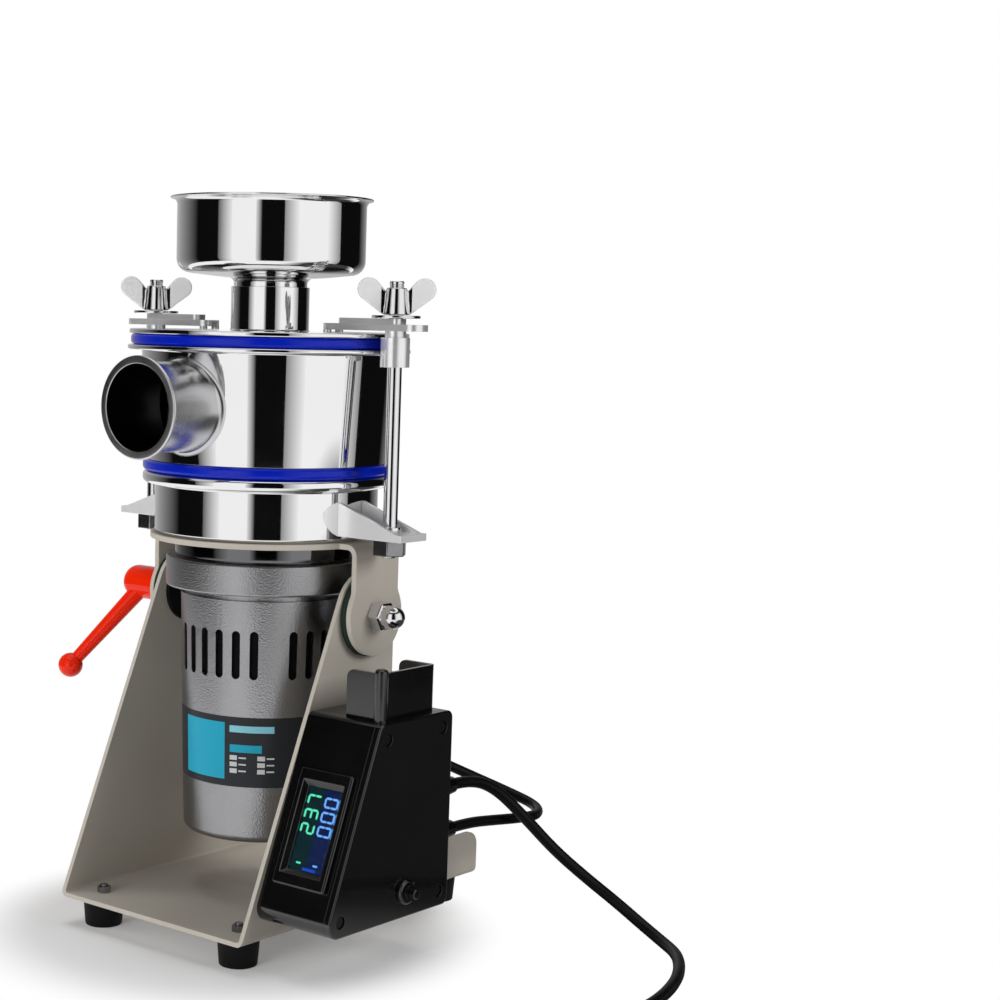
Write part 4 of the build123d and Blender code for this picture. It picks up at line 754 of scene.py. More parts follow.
def turned(profile: Sequence[Flat], centre: Flat = (0.0, 0.0), segments: int = 160) -> Solid:
    """Turn a closed outline of radius and height about an upright axis.

    Args:
        profile: The outline's points.
        centre: Where the axis stands.
        segments: Runs that the circle is drawn in.

    Returns:
        Points in millimetres, and faces.
    """
    points: list[Point] = []
    for index in range(segments):
        turn = 2 * math.pi * index / segments
        points += [(centre[0] + radius * math.cos(turn), centre[1] + radius * math.sin(turn), height)
                   for radius, height in profile]
    return points, grid_faces(segments, len(profile), True, True)


def prism(lower: list[Point], upper: list[Point]) -> Solid:
    """Close a solid between two outlines that have the same number of points.

    Args:
        lower: Points of the first outline.
        upper: Points of the second one.

    Returns:
        Points and faces.
    """
    count = len(lower)
    caps = [range(count - 1, -1, -1), range(count, 2 * count)]
    return [*lower, *upper], [*grid_faces(2, count, False, True), *caps]


def joined(*solids: Solid) -> Solid:
    """Put the points and faces of several solids together.

    Args:
        solids: The solids.

    Returns:
        Points and faces.
    """
    points: list[Point] = []
    faces: Faces = []
    for spots, patches in solids:
        faces += [[number + len(points) for number in face] for face in patches]
        points += spots
    return points, faces


def lathe(name: str, profile: Sequence[Flat], node: str, segments: int = FINE_TURN) -> Object:
    """Turn a piece that stands for a CAD node.

    Args:
        name: The piece's name.
        profile: Its outline.
        node: The node.
        segments: Runs that the circle is drawn in.

    Returns:
        The new piece.
    """
    mesh = mesh_from(name, *turned(profile, segments=segments))
    return stand_in(name, mesh, FINISH_OF_NODE[node], body_of(node), (node,))


def bake(piece: Object, angle: float) -> None:
    """Turn a piece's modifiers into mesh, and dress it again.

    Args:
        piece: The piece.
        angle: Edges sharper than this stay sharp, in degrees.
    """
    material = piece.data.materials[0]
    bpy.context.view_layer.update()
    shaped = piece.evaluated_get(bpy.context.evaluated_depsgraph_get())
    piece.data = bpy.data.meshes.new_from_object(shaped)
    piece.modifiers.clear()
    smooth(piece.data, angle)
    piece.data.materials.clear()
    piece.data.materials.append(material)


def finished(node: str) -> Object:
    """Stand a cleaned copy, with its flat faces joined, in for a CAD node.

    Args:
        node: The node's name.

    Returns:
        The new piece.
    """
    mesh = frame["nodes"][node].data.copy()
    work = bmesh.new()
    work.from_mesh(mesh)
    bmesh.ops.remove_doubles(work, verts=work.verts, dist=COPY_MERGE_REACH)
    bmesh.ops.dissolve_limit(work, angle_limit=math.radians(FLAT_ANGLE), verts=work.verts, edges=work.edges)
    work.to_mesh(mesh)
    work.free()
    return stand_in(f"{node}_finished", mesh, FINISH_OF_NODE[node], body_of(node), (node,))


def softened(nodes: str, width: float, segments: int = 2) -> None:
    """Stand copies with rounded edges in for CAD nodes.

    Args:
        nodes: The nodes' names, with spaces between them.
        width: Width of the rounding in millimetres.
        segments: Runs that the rounding is drawn in.
    """
    for node in nodes.split():
        piece = finished(node)
        smooth(piece.data, CREASE_ANGLE)
        edge = piece.modifiers.new("edge_round", "BEVEL")
        edge.width = width * MM
        edge.segments = segments
        edge.limit_method = "ANGLE"
        edge.angle_limit = math.radians(CREASE_ANGLE)
        edge.miter_outer = "MITER_ARC"
        flat = piece.modifiers.new("flat_faces", "WEIGHTED_NORMAL")
        flat.weight = 100
        flat.keep_sharp = True


def cast(node: str, voxel: float, passes: int) -> Object:
    """Stand a moulded copy, with its joints run together, in for a CAD node.

    Args:
        node: The node's name.
        voxel: Size of the remesh in millimetres.
        passes: Rounds of smoothing.

    Returns:
        The new piece.
    """
    piece = finished(node)
    melt = piece.modifiers.new("melt", "REMESH")
    melt.mode = "VOXEL"
    melt.voxel_size = voxel * MM
    ease = piece.modifiers.new("ease", "SMOOTH")
    ease.factor = 0.5
    ease.iterations = passes
    bake(piece, MOULDED_ANGLE)
    return piece


@dataclass(frozen=True)
class Lamp:
    """A soft box.

    Args:
        name: Its name.
        place: Where it hangs.
        aim: What it points at.
        side: Length of its side.
        watts: Its power.
    """

    name: str
    place: Point
    aim: Point
    side: float
    watts: float


@dataclass(frozen=True)
class Flag:
    """A curved flag that the polished steel mirrors as a band.

    Args:
        name: Its name.
        span: First and last direction, in degrees to the right of the camera.
        tones: Its brightness at the first and the last direction.
    """

    name: str
    span: Flat
    tones: Flat


@dataclass
class Studio:
    """Floor, light, reflection flags and the camera, in metres.

    Args:
        azimuth: Camera's turn to the right of the front, in degrees.
        pitch: Camera's height angle, in degrees.
        roll: Camera's roll, in degrees.
        distance: From the aim to the camera.
        aim_right: Sideways offset of the aim.
        aim_height: Height of the aim.
        sensor: Width of the camera's sensor in millimetres.
        lens: Focal length on that sensor.
        shift: Lens shift that puts the object left of the middle.
        sky: Strength of the surroundings as a light, and where they are seen.
        floor_half: Half the floor's width.
        paper_middle: Middle of the floor's paper.
        paper_reach: Half its width and depth.
        paper_fade: Shares of that reach between which it fades into white.
        paper_tone: How pale it is.
        paper_glow: How much it glows where it is seen.
        dark_middle: Middle of the dark cloth that lies beside the set, seen only in reflections.
        dark_reach: Distances from there between which the cloth ends.
        dark_tone: Brightness of the cloth.
        flag_radius: How far the flags stand from the axis.
        flag_levels: Lower and upper edge of the flags.
        flag_step: Degrees that one run of a flag covers.
        flag_runs: Fewest runs of a flag.
        ring_levels: Edges of the dark ring overhead, which draws the rounded rims.
    """

    azimuth: float = 41.3
    pitch: float = 7.6
    roll: float = 1.2
    distance: float = 1.3214
    aim_right: float = 0.00237
    aim_height: float = 0.22355
    sensor: float = 36.0
    lens: float = 72.65
    shift: Flat = (0.232, 0.084)
    sky: Flat = (0.06, 1.0)
    floor_half: float = 6.0
    paper_middle: Flat = (0.0, -0.03)
    paper_reach: Flat = (0.145, 0.15)
    paper_fade: Flat = (0.8, 1.25)
    paper_tone: float = 0.86
    paper_glow: float = 0.15
    dark_middle: Flat = (0.55, 0.4)
    dark_reach: Flat = (0.45, 0.7)
    dark_tone: float = 0.05
    flag_radius: float = 0.9
    flag_levels: Flat = (0.02, 1.6)
    flag_step: float = 4.0
    flag_runs: int = 6
    ring_levels: Flat = (0.95, 1.5)

    LAMPS: ClassVar[Sequence[Lamp]] = (
        Lamp("key_box", (-1.9, -1.35, 0.9), (0.0, 0.0, 0.25), 1.0, 12.0),
        Lamp("front_box", (0.2, -1.9, 0.45), (0.0, 0.0, 0.3), 0.9, 19.0),
        Lamp("side_box", (1.95, 0.6, 1.0), (0.0, 0.0, 0.2), 0.9, 18.0),
        Lamp("top_box", (-0.3, 0.1, 2.0), (0.0, 0.0, 0.2), 1.0, 12.0),
    )
    FLAGS: ClassVar[Sequence[Flag]] = (
        Flag("left_outer", (-176.0, -97.0), (0.62, FLAG_BLACK)),
        Flag("left", (-97.0, -65.0), (FLAG_BLACK, FLAG_BLACK)),
        Flag("left_inner", (-65.0, -47.0), (0.12, 0.9)),
        Flag("middle_left", (-18.0, -11.0), (0.8, FLAG_BLACK)),
        Flag("middle", (-11.0, 15.0), (FLAG_BLACK, FLAG_BLACK)),
        Flag("middle_right", (15.0, 32.0), (0.3, 0.95)),
        Flag("right_inner", (70.0, 89.0), (0.95, 0.3)),
        Flag("right", (89.0, 130.0), (FLAG_BLACK, FLAG_BLACK)),
        Flag("right_outer", (130.0, 176.0), (FLAG_BLACK, 0.5)),
    )
    RING: ClassVar[Flag] = Flag("overhead", (-180.0, 180.0), (0.02, 0.02))

    def build(self) -> None:
        """Set up the whole studio."""
        self.camera()
        self.world()
        self.floor()
        for lamp in self.LAMPS:
            self.hang(lamp)
        self.flags()

    def camera(self) -> None:
        """Stand the camera where the photograph was taken."""
        turn, tip, roll = (math.radians(value) for value in (self.azimuth, self.pitch, self.roll))
        right = Vector((math.cos(turn), math.sin(turn), 0.0))
        back = Vector((math.sin(turn) * math.cos(tip), -math.cos(turn) * math.cos(tip), math.sin(tip)))
        up = back.cross(right)
        rolled_right = right * math.cos(roll) + up * math.sin(roll)
        rolled_up = up * math.cos(roll) - right * math.sin(roll)
        eye = right * self.aim_right + UP * self.aim_height + back * self.distance
        data = bpy.data.cameras.new("studio_camera")
        data.sensor_width = self.sensor
        data.lens = self.lens
        data.shift_x, data.shift_y = self.shift
        camera = placed("studio_camera", data)
        rows = zip(rolled_right, rolled_up, back, eye)
        camera.matrix_world = Matrix((*rows, (0.0, 0.0, 0.0, 1.0)))
        bpy.context.scene.camera = camera
        bpy.context.scene.view_settings.view_transform = "Standard"

    def world(self) -> None:
        """White to the camera and to gloss, softer as a light."""
        world = bpy.data.worlds.new("studio_world")
        bpy.context.scene.world = world
        world.use_nodes = True
        world.node_tree.nodes.clear()
        shader = Shader(world.node_tree)
        strength = shader.ranged(self.seen_rays(shader), (0.0, 1.0), self.sky)
        white = {"Color": (1.0, 1.0, 1.0, 1.0), "Strength": strength}
        light = shader.add("ShaderNodeBackground", white).outputs["Background"]
        shader.add("ShaderNodeOutputWorld", {"Surface": light})

    @staticmethod
    def seen_rays(shader: Shader) -> NodeSocket:
        """A mask of the rays that show the background: camera, glossy and transmitted.

        Args:
            shader: The tree to add to.

        Returns:
            The mask's socket.
        """
        path = shader.add("ShaderNodeLightPath").outputs
        first = shader.math("MAXIMUM", path["Is Camera Ray"], path["Is Glossy Ray"])
        return shader.math("MAXIMUM", first, path["Is Transmission Ray"])

    def floor(self) -> None:
        """Pale floor that keeps the object's shadow and fades into white further out."""
        half = self.floor_half / MM
        corners = [(-half, -half, 0), (half, -half, 0), (half, half, 0), (-half, half, 0)]
        floor = placed("floor", mesh_from("floor", corners, [(0, 1, 2, 3)]))
        material, shader = stage_material("floor_paper")
        place = shader.place()
        offset = shader.vector("SUBTRACT", place, (*self.paper_middle, 0.0))["Vector"]
        scaled = shader.vector("DIVIDE", offset, (*self.paper_reach, 1.0))["Vector"]
        reach = shader.vector("LENGTH", scaled)["Value"]
        fade = shader.ranged(reach, self.paper_fade, interpolation_type="SMOOTHSTEP")
        seen = self.seen_rays(shader)
        tone = opaque((self.paper_tone, self.paper_tone, self.paper_tone))
        paper = shader.add("ShaderNodeBsdfDiffuse", {"Color": tone}).outputs["BSDF"]
        glow = shader.light(shader.math("MULTIPLY", seen, self.paper_glow))
        near = shader.add("ShaderNodeAddShader", {0: paper, 1: glow}).outputs["Shader"]
        pale = shader.either(shader.math("MULTIPLY", seen, fade), near, shader.light(1.0))
        away = shader.vector("DISTANCE", place, (*self.dark_middle, 0.0))["Value"]
        dark = shader.ranged(away, self.dark_reach, (1.0, 0.0))
        glossy = shader.add("ShaderNodeLightPath").outputs["Is Glossy Ray"]
        both = shader.either(shader.math("MULTIPLY", glossy, dark), pale, shader.light(self.dark_tone))
        shader.add("ShaderNodeOutputMaterial", {"Surface": both})
        floor.data.materials.append(material)
        floor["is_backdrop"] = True

    @staticmethod
    def hang(lamp: Lamp) -> None:
        """Hang one soft box.

        Args:
            lamp: The soft box.
        """
        data = bpy.data.lights.new(lamp.name, "AREA")
        data.size = lamp.side
        data.energy = lamp.watts
        box = placed(lamp.name, data)
        box.location = lamp.place
        box.rotation_euler = (Vector(lamp.aim) - Vector(lamp.place)).to_track_quat("-Z", "Y").to_euler()
        box.visible_glossy = False

    def flags(self) -> None:
        """Stand the flags round the set and hang the ring over it."""
        material, shader = stage_material("flag_cloth")
        tone = shader.add("ShaderNodeAttribute", attribute_name="tone").outputs["Color"]
        shade = shader.add("ShaderNodeEmission", {"Color": tone, "Strength": 1.0}).outputs["Emission"]
        shader.add("ShaderNodeOutputMaterial", {"Surface": shade})
        for flag in self.FLAGS:
            self.set_up(flag, self.flag_levels, material)
        self.set_up(self.RING, self.ring_levels, material)

    def set_up(self, flag: Flag, levels: Flat, material: Material) -> None:
        """Stand one flag between its two directions, seen from the object.

        Args:
            flag: The flag.
            levels: Its lower and upper edge.
            material: Its material.
        """
        (first, last), (dark, pale) = flag.span, flag.tones
        steps = max(self.flag_runs, int((last - first) / self.flag_step))
        points: list[Point] = []
        shades: list[float] = []
        for index in range(steps + 1):
            share = index / steps
            turn = math.radians(self.azimuth + first + (last - first) * share)
            x, y = math.sin(turn) * self.flag_radius, -math.cos(turn) * self.flag_radius
            points += [(x, y, level) for level in levels]
            shades += 2 * [dark + (pale - dark) * share]
        mesh = bpy.data.meshes.new(f"flag_{flag.name}")
        mesh.from_pydata(points, [], grid_faces(steps + 1, 2, False, False))
        tone = mesh.attributes.new("tone", "FLOAT_COLOR", "POINT")
        for entry, shade in zip(tone.data, shades):
            entry.color = (shade, shade, shade, 1.0)
        mesh.materials.append(material)
        cloth = placed(f"flag_{flag.name}", mesh)
        cloth.visible_camera = False
        cloth.visible_diffuse = False
        cloth.visible_shadow = False
        cloth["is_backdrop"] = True


@dataclass
class Stand:
    """Folded sheet stand on rubber feet, and the pivots that the head tilts on, in millimetres.

    Args:
        sheet_edge: Rounding of the sheet's edges.
        foot_edge: Rounding of the feet.
        nut_edge: Rounding of the nuts' edges.
        disc_edge: Rounding of the discs and washers.
        hub_radius: Radius of the lever's hub.
        hub_length: Its length.
        hub_rounds: Rounding of its inner and its outer end.
        hub_steps: Runs that these are drawn in.
        hub_place: Where its inner end sits.
        root: Where the lever's arm starts.
        arm: Radius of the arm at its root and at its neck.
        reach: From the root to the middle of the ball.
        ball: Radius of the ball.
        ball_steps: Runs that the ball is drawn in.
        forward: The arm's angle to the front, in degrees.
        outward: Its angle away from the stand, in degrees.
        lever_turn: Runs round the lever.
        lever_angle: Edges of the lever sharper than this stay sharp, in degrees.
    """

    sheet_edge: float = 0.7
    foot_edge: float = 0.8
    nut_edge: float = 0.5
    disc_edge: float = 0.4
    hub_radius: float = 11.5
    hub_length: float = 45.0
    hub_rounds: Flat = (0.6, 9.0)
    hub_steps: int = 10
    hub_place: Point = (-87.7, 8.0, 212.0)
    root: Point = (-116.5, 8.0, 212.0)
    arm: Flat = (6.2, 4.4)
    reach: float = 78.0
    ball: float = 8.5
    ball_steps: int = 24
    forward: float = 35.0
    outward: float = 25.0
    lever_turn: int = 64
    lever_angle: float = 50.0

    def build(self) -> None:
        """Round the edges of the stand and of what it carries."""
        softened("base_frame yoke", self.sheet_edge)
        softened("rubber_feet", self.foot_edge)
        softened("foot_nuts foot_bolts pivot_nut", self.nut_edge)
        softened("pivot_inner_washers friction_pads friction_discs", self.disc_edge)
        self.lever()

    def lever(self) -> None:
        """Turn the lever's hub and its tapered arm with the ball."""
        wide, long = self.hub_radius, self.hub_length
        inner, outer = self.hub_rounds
        corners = [(0.0, 0.0, 0), (wide, 0.0, inner), (wide, long, outer), (0.0, long, 0)]
        hub = rounded(corners, self.hub_steps)
        thick, thin = self.arm
        neck = self.reach - math.sqrt(self.ball**2 - thin**2)
        start = math.atan2(thin, neck - self.reach)
        arm = [(0.0, 0.0), (thick, 0.0), (thin, neck)]
        for step in range(1, self.ball_steps + 1):
            turn = start * (1 - step / self.ball_steps)
            arm.append((self.ball * math.sin(turn), self.reach + self.ball * math.cos(turn)))
        forward, outward = math.radians(self.forward), math.radians(self.outward)
        ahead = Vector((-math.sin(outward), -math.cos(outward) * math.sin(forward),
                        -math.cos(outward) * math.cos(forward)))
        aside = Vector((-1.0, 0.0, 0.0))
        parts: list[Solid] = []
        for profile, origin, axis in ((hub, self.hub_place, aside), (arm, self.root, ahead)):
            spots, faces = turned(profile, segments=self.lever_turn)
            spin = UP.rotation_difference(axis)
            parts.append(([spin @ Vector(spot) + Vector(origin) for spot in spots], faces))
        mesh = mesh_from("lock_lever_moulded", *joined(*parts), self.lever_angle)
        stand_in("lock_lever_moulded", mesh, RED_PLASTIC, body_of("lock_lever"), ("lock_lever",))


@dataclass
class Motor:
    """Motor housing with its mounting ring and its bare label, in millimetres.

    Args:
        ring_radius: Outer radius of the mounting ring.
        ring_bore: Its inner radius.
        ring_span: Its lower and upper face.
        ring_round: Rounding of its outer edges.
        ring_turn: Runs round it.
        can_edge: Rounding of the can's edges.
        bell_edge: Rounding of the end bell's edges.
        can_top: Radius and height of the can's upper end.
        can_bottom: Radius and height of its lower end.
        shade_sheet_radius: Radius of the dark sheet behind the vents, painted shade that stands in for the
            shade inside the motor.
        shade_sheet_span: Its lower and upper edge.
        shade_sheet_depth: Its thickness.
        shade_sheet_turn: Runs round it.
        label: The label's first and last direction in degrees, and lowest and highest edge.
        film_lift: How far the label's film stands out of the can.
        print_lift: How far its print does.
        print_step: Degrees that one run of the label covers.
        boxes: First directions of the two columns of small boxes.
        box_rows: Boxes in a column.
        box_top: Lower edge of the highest box.
        box_pitch: From one box down to the next.
        box_size: A box's width in degrees and its height.
        line: Place of the line beside a box, counted from the box's corner.
    """

    ring_radius: float = 59.0
    ring_bore: float = 36.0
    ring_span: Flat = (243.0, 254.2)
    ring_round: float = 0.7
    ring_turn: int = 160
    can_edge: float = 0.6
    bell_edge: float = 0.5
    can_top: Flat = (54.5, 219.0)
    can_bottom: Flat = (50.5, 62.0)
    shade_sheet_radius: float = 50.6
    shade_sheet_span: Flat = (162.0, 206.0)
    shade_sheet_depth: float = 0.15
    shade_sheet_turn: int = 96
    label: Span = (-140.0, 6.0, 99.0, 144.5)
    film_lift: float = 0.12
    print_lift: float = 0.2
    print_step: float = 2.0
    boxes: Flat = (-71.0, -51.0)
    box_rows: int = 3
    box_top: float = 116.6
    box_pitch: float = 4.3
    box_size: Flat = (5.4, 3.0)
    line: Span = (6.6, 12.0, 1.0, 2.0)

    PRINT: ClassVar[Sequence[tuple[str, Span, Finish]]] = (
        ("label_block", (-114.0, -75.0, 103.5, 140.5), LABEL_CYAN),
        ("label_bar_upper", (-71.3, -39.5, 134.6, 139.0), LABEL_PALE),
        ("label_bar_lower", (-71.0, -48.0, 121.6, 126.6), LABEL_CYAN),
    )

    def build(self) -> None:
        """Turn the ring, ease the vents' edges, lay a dark sheet of painted shade behind the vents, and lay
        the label.
        """
        bore, wide, (low, high) = self.ring_bore, self.ring_radius, self.ring_span
        ring = [(bore, low, 0), (wide, low, self.ring_round), (wide, high, self.ring_round), (bore, high, 0)]
        lathe("motor_mount_ring_turned", rounded(ring, 3), "motor_mount_ring", self.ring_turn)
        softened("motor_can", self.can_edge)
        softened("motor_end_bell", self.bell_edge)
        # Painted shade: a black sheet inside the vent band stands in for the shade within the motor.
        inner, outer = self.shade_sheet_radius, self.shade_sheet_radius + self.shade_sheet_depth
        low, high = self.shade_sheet_span
        shade_sheet = turned([(inner, low), (outer, low), (outer, high), (inner, high)], segments=self.shade_sheet_turn)
        stand_in("vent_shade_sheet", mesh_from("vent_shade_sheet", *shade_sheet), VENT_SHADE_SHEET, Body.HEAD.value)
        self.patch("label_ground", self.label, self.film_lift, LABEL_FILM)
        for name, span, finish in self.PRINT:
            self.patch(name, span, self.print_lift, finish)
        self.small_print()

    def small_print(self) -> None:
        """Lay the columns of small boxes with the line beside each."""
        wide, tall = self.box_size
        first, last, under, over = self.line
        for column, start in enumerate(self.boxes):
            for row in range(self.box_rows):
                foot = self.box_top - self.box_pitch * row
                box = (start, start + wide, foot, foot + tall)
                line = (start + first, start + last, foot + under, foot + over)
                self.patch(f"label_box_{column}_{row}", box, self.print_lift, LABEL_WHITE)
                self.patch(f"label_line_{column}_{row}", line, self.print_lift, LABEL_WHITE)

    def patch(self, name: str, span: Span, lift: float, finish: Finish) -> None:
        """Lay a thin film on the can.

        Args:
            name: The piece's name.
            span: First and last direction in degrees, lowest and highest edge.
            lift: Height over the can.
            finish: Its finish.
        """
        start, stop, low, high = span
        columns = max(4, int((stop - start) / self.print_step))
        points: list[Point] = []
        for column in range(columns + 1):
            turn = math.radians(start + (stop - start) * column / columns)
            for height, raised in ((low, 0.0), (low, lift), (high, lift), (high, 0.0)):
                share = (height - self.can_bottom[1]) / (self.can_top[1] - self.can_bottom[1])
                radius = self.can_bottom[0] + share * (self.can_top[0] - self.can_bottom[0]) + raised
                points.append((radius * math.cos(turn), radius * math.sin(turn), height))
        mesh = mesh_from(name, points, grid_faces(columns + 1, 4, False, True))
        stand_in(name, mesh, finish, Body.HEAD.value)


@dataclass
class Chamber:
    """Polished bowl, chamber with its spout, blue seals, and lid with its neck, in millimetres.

    Args:
        wall_foot: Outer radius and height of the chamber wall's lower end.
        wall_head: Outer radius and height of its upper end.
        wall: Thickness of the wall.
        wall_rounds: Rounding at the wall's foot, under the flange, on its rim and inside.
        flange_radius: Radius of the flange on top.
        top: Height of the flange's upper face.
        drill_turn: Runs round the spout's hole.
        drill_depth: How near to the axis the hole is cut.
        spout_level: Height of the spout's axis.
        spout_bore: Radius of the spout's bore.
        spout_tube: Outer radius of its tube.
        spout_lip: Outer radius of its lip.
        spout_lip_depth: Thickness of the lip.
        spout_end: How far forward the lip's face is.
        lip_rounds: Rounding at the bore, on the lip's rim and behind the lip.
        spout_turn: Runs round the spout.
        blend: Rounding between tube and wall.
        blend_steps: Runs that it is drawn in.
        blend_lift: How far the weld's edge stands on the wall.
        bore_shade_start: How far behind the lip's face the bore's painted shade starts.
        lip_highlight_reach: How far in front of the lip's back the painted highlight on the rim ends.
    """

    wall_foot: Flat = (78.0, 305.0)
    wall_head: Flat = (82.0, 375.0)
    wall: float = 2.5
    wall_rounds: Span = (0.5, 1.0, 1.2, 0.3)
    flange_radius: float = 91.0
    top: float = 378.0
    drill_turn: int = 96
    drill_depth: float = 40.0
    spout_level: float = 341.0
    spout_bore: float = 26.6
    spout_tube: float = 27.8
    spout_lip: float = 31.6
    spout_lip_depth: float = 2.4
    spout_end: float = 119.6
    lip_rounds: Corner = (0.5, 1.1, 0.6)
    spout_turn: int = 160
    blend: float = 3.2
    blend_steps: int = 8
    blend_lift: float = 0.02
    bore_shade_start: float = 0.6
    lip_highlight_reach: float = 1.2

    BOWL: ClassVar[Sequence[Corner]] = (
        (17.0, 257.8, 0), (72.5, 257.8, 2.5), (72.5, 290.0, 1.2), (80.5, 290.0, 3.4),
        (80.5, 298.0, 3.4), (70.0, 298.0, 0.4), (70.0, 261.8, 1.0), (17.0, 261.8, 0),
    )
    SEALS: ClassVar[Sequence[Sequence[Corner]]] = (
        ((67.5, 298.0, 0), (80.5, 298.0, 2.5), (80.5, 305.0, 2.5), (67.5, 305.0, 0)),
        ((74.0, 378.0, 0), (89.0, 378.0, 2.5), (89.0, 385.0, 2.5), (74.0, 385.0, 0)),
    )
    LID: ClassVar[Sequence[Corner]] = (
        (21.9, 385.0, 0.4), (90.0, 385.0, 0.9), (90.0, 388.0, 0.9), (25.2, 388.0, 1.4),
        (25.2, 416.0, 0.4), (23.9, 416.0, 0.4), (23.9, 388.0, 0.3), (21.9, 388.0, 0.3),
    )

    def build(self) -> None:
        """Turn the steel and the seals, and weld the spout on."""
        lathe("lower_bowl_turned", rounded(self.BOWL), "lower_bowl")
        seals = joined(*(turned(rounded(seal)) for seal in self.SEALS))
        mesh = mesh_from("chamber_seals_moulded", *seals)
        stand_in("chamber_seals_moulded", mesh, BLUE_SILICONE, Body.HEAD.value, ("chamber_seals",))
        lathe("lid_turned", rounded(self.LID), "lid")
        self.shell()
        self.spout()

    def outer(self, height: float) -> float:
        """Outer radius of the wall at a height."""
        share = (height - self.wall_foot[1]) / (self.wall_head[1] - self.wall_foot[1])
        return self.wall_foot[0] + share * (self.wall_head[0] - self.wall_foot[0])

    def shell(self) -> None:
        """Turn the wall with its flange and cut the spout's hole into it."""
        (foot, low), (head, high) = self.wall_foot, self.wall_head
        inner_top = head - self.wall + (head - foot) / (high - low) * (self.top - high)
        at_foot, at_flange, at_rim, inside = self.wall_rounds
        profile = rounded([(foot - self.wall, low, 0), (foot, low, at_foot), (head, high, at_flange),
                           (self.flange_radius, high, at_rim), (self.flange_radius, self.top, at_rim),
                           (inner_top, self.top, inside)])
        wall = lathe("chamber_turned", profile, "chamber")
        turns = [2 * math.pi * index / self.drill_turn for index in range(self.drill_turn)]
        ring = [(self.spout_tube * math.cos(turn), self.spout_tube * math.sin(turn) + self.spout_level)
                for turn in turns]
        ends = ([(x, -depth, z) for x, z in ring] for depth in (self.spout_end, self.drill_depth))
        drill = placed("spout_drill", mesh_from("spout_drill", *prism(*ends)))
        cut = wall.modifiers.new("spout_hole", "BOOLEAN")
        cut.object = drill
        cut.operation = "DIFFERENCE"
        cut.solver = "EXACT"
        bake(wall, 40.0)
        bpy.data.objects.remove(drill)

    def spout(self) -> None:
        """Roll the spout: bore, flat lip, tube and the weld that runs into the wall, with painted shade in
        the bore and a painted highlight on the lip.
        """
        front, back = -self.spout_end, -self.spout_end + self.spout_lip_depth
        at_bore, at_rim, behind = self.lip_rounds
        lip = rounded([(self.spout_bore, front, at_bore), (self.spout_lip, front, at_rim),
                       (self.spout_lip, back, at_rim), (self.spout_tube, back, behind),
                       (self.spout_tube, back + 20.0, 0)], 5)[:-1]
        points: list[Point] = []
        for index in range(self.spout_turn):
            turn = 2 * math.pi * index / self.spout_turn
            across, along = math.cos(turn), math.sin(turn)

            def place(radius: float, depth: float) -> Vector:
                """A point beside the spout's axis."""
                return Vector((radius * across, depth, self.spout_level + radius * along))

            def on_wall(radius: float, sunk: float) -> Vector:
                """A point on the wall, or under its surface."""
                spot = place(radius, 0.0)
                spot.y = -math.sqrt((self.outer(spot.z) - sunk) ** 2 - spot.x**2)
                return spot

            corner = on_wall(self.spout_tube, 0.0)
            tube = place(self.spout_tube, corner.y - self.blend)
            skirt = on_wall(self.spout_tube + self.blend, -self.blend_lift)
            points += [on_wall(self.spout_bore, self.wall), *[place(*spot) for spot in lip]]
            for step in range(self.blend_steps + 1):
                share = step / self.blend_steps
                points.append(tube * (1 - share) ** 2 + corner * (2 * share * (1 - share)) + skirt * share**2)
        columns = len(points) // self.spout_turn
        mesh = mesh_from("spout_welded", points, grid_faces(self.spout_turn, columns, True, False))
        stand_in("spout_welded", mesh, SPUN_STEEL, Body.HEAD.value)
        # The bore takes near-black steel as painted shade.
        mesh.materials.append(SPOUT_BORE_SHADE.material())
        # The lip's front takes lighter steel as a painted highlight.
        mesh.materials.append(LIP_STEEL_HIGHLIGHT.material())
        for face in mesh.polygons:
            middle = face.center / MM
            radius = math.hypot(middle.x, middle.z - self.spout_level)
            if radius < self.spout_bore + 0.05 and middle.y > front + self.bore_shade_start:
                face.material_index = 1
            elif middle.y < back - self.lip_highlight_reach:
                face.material_index = 2


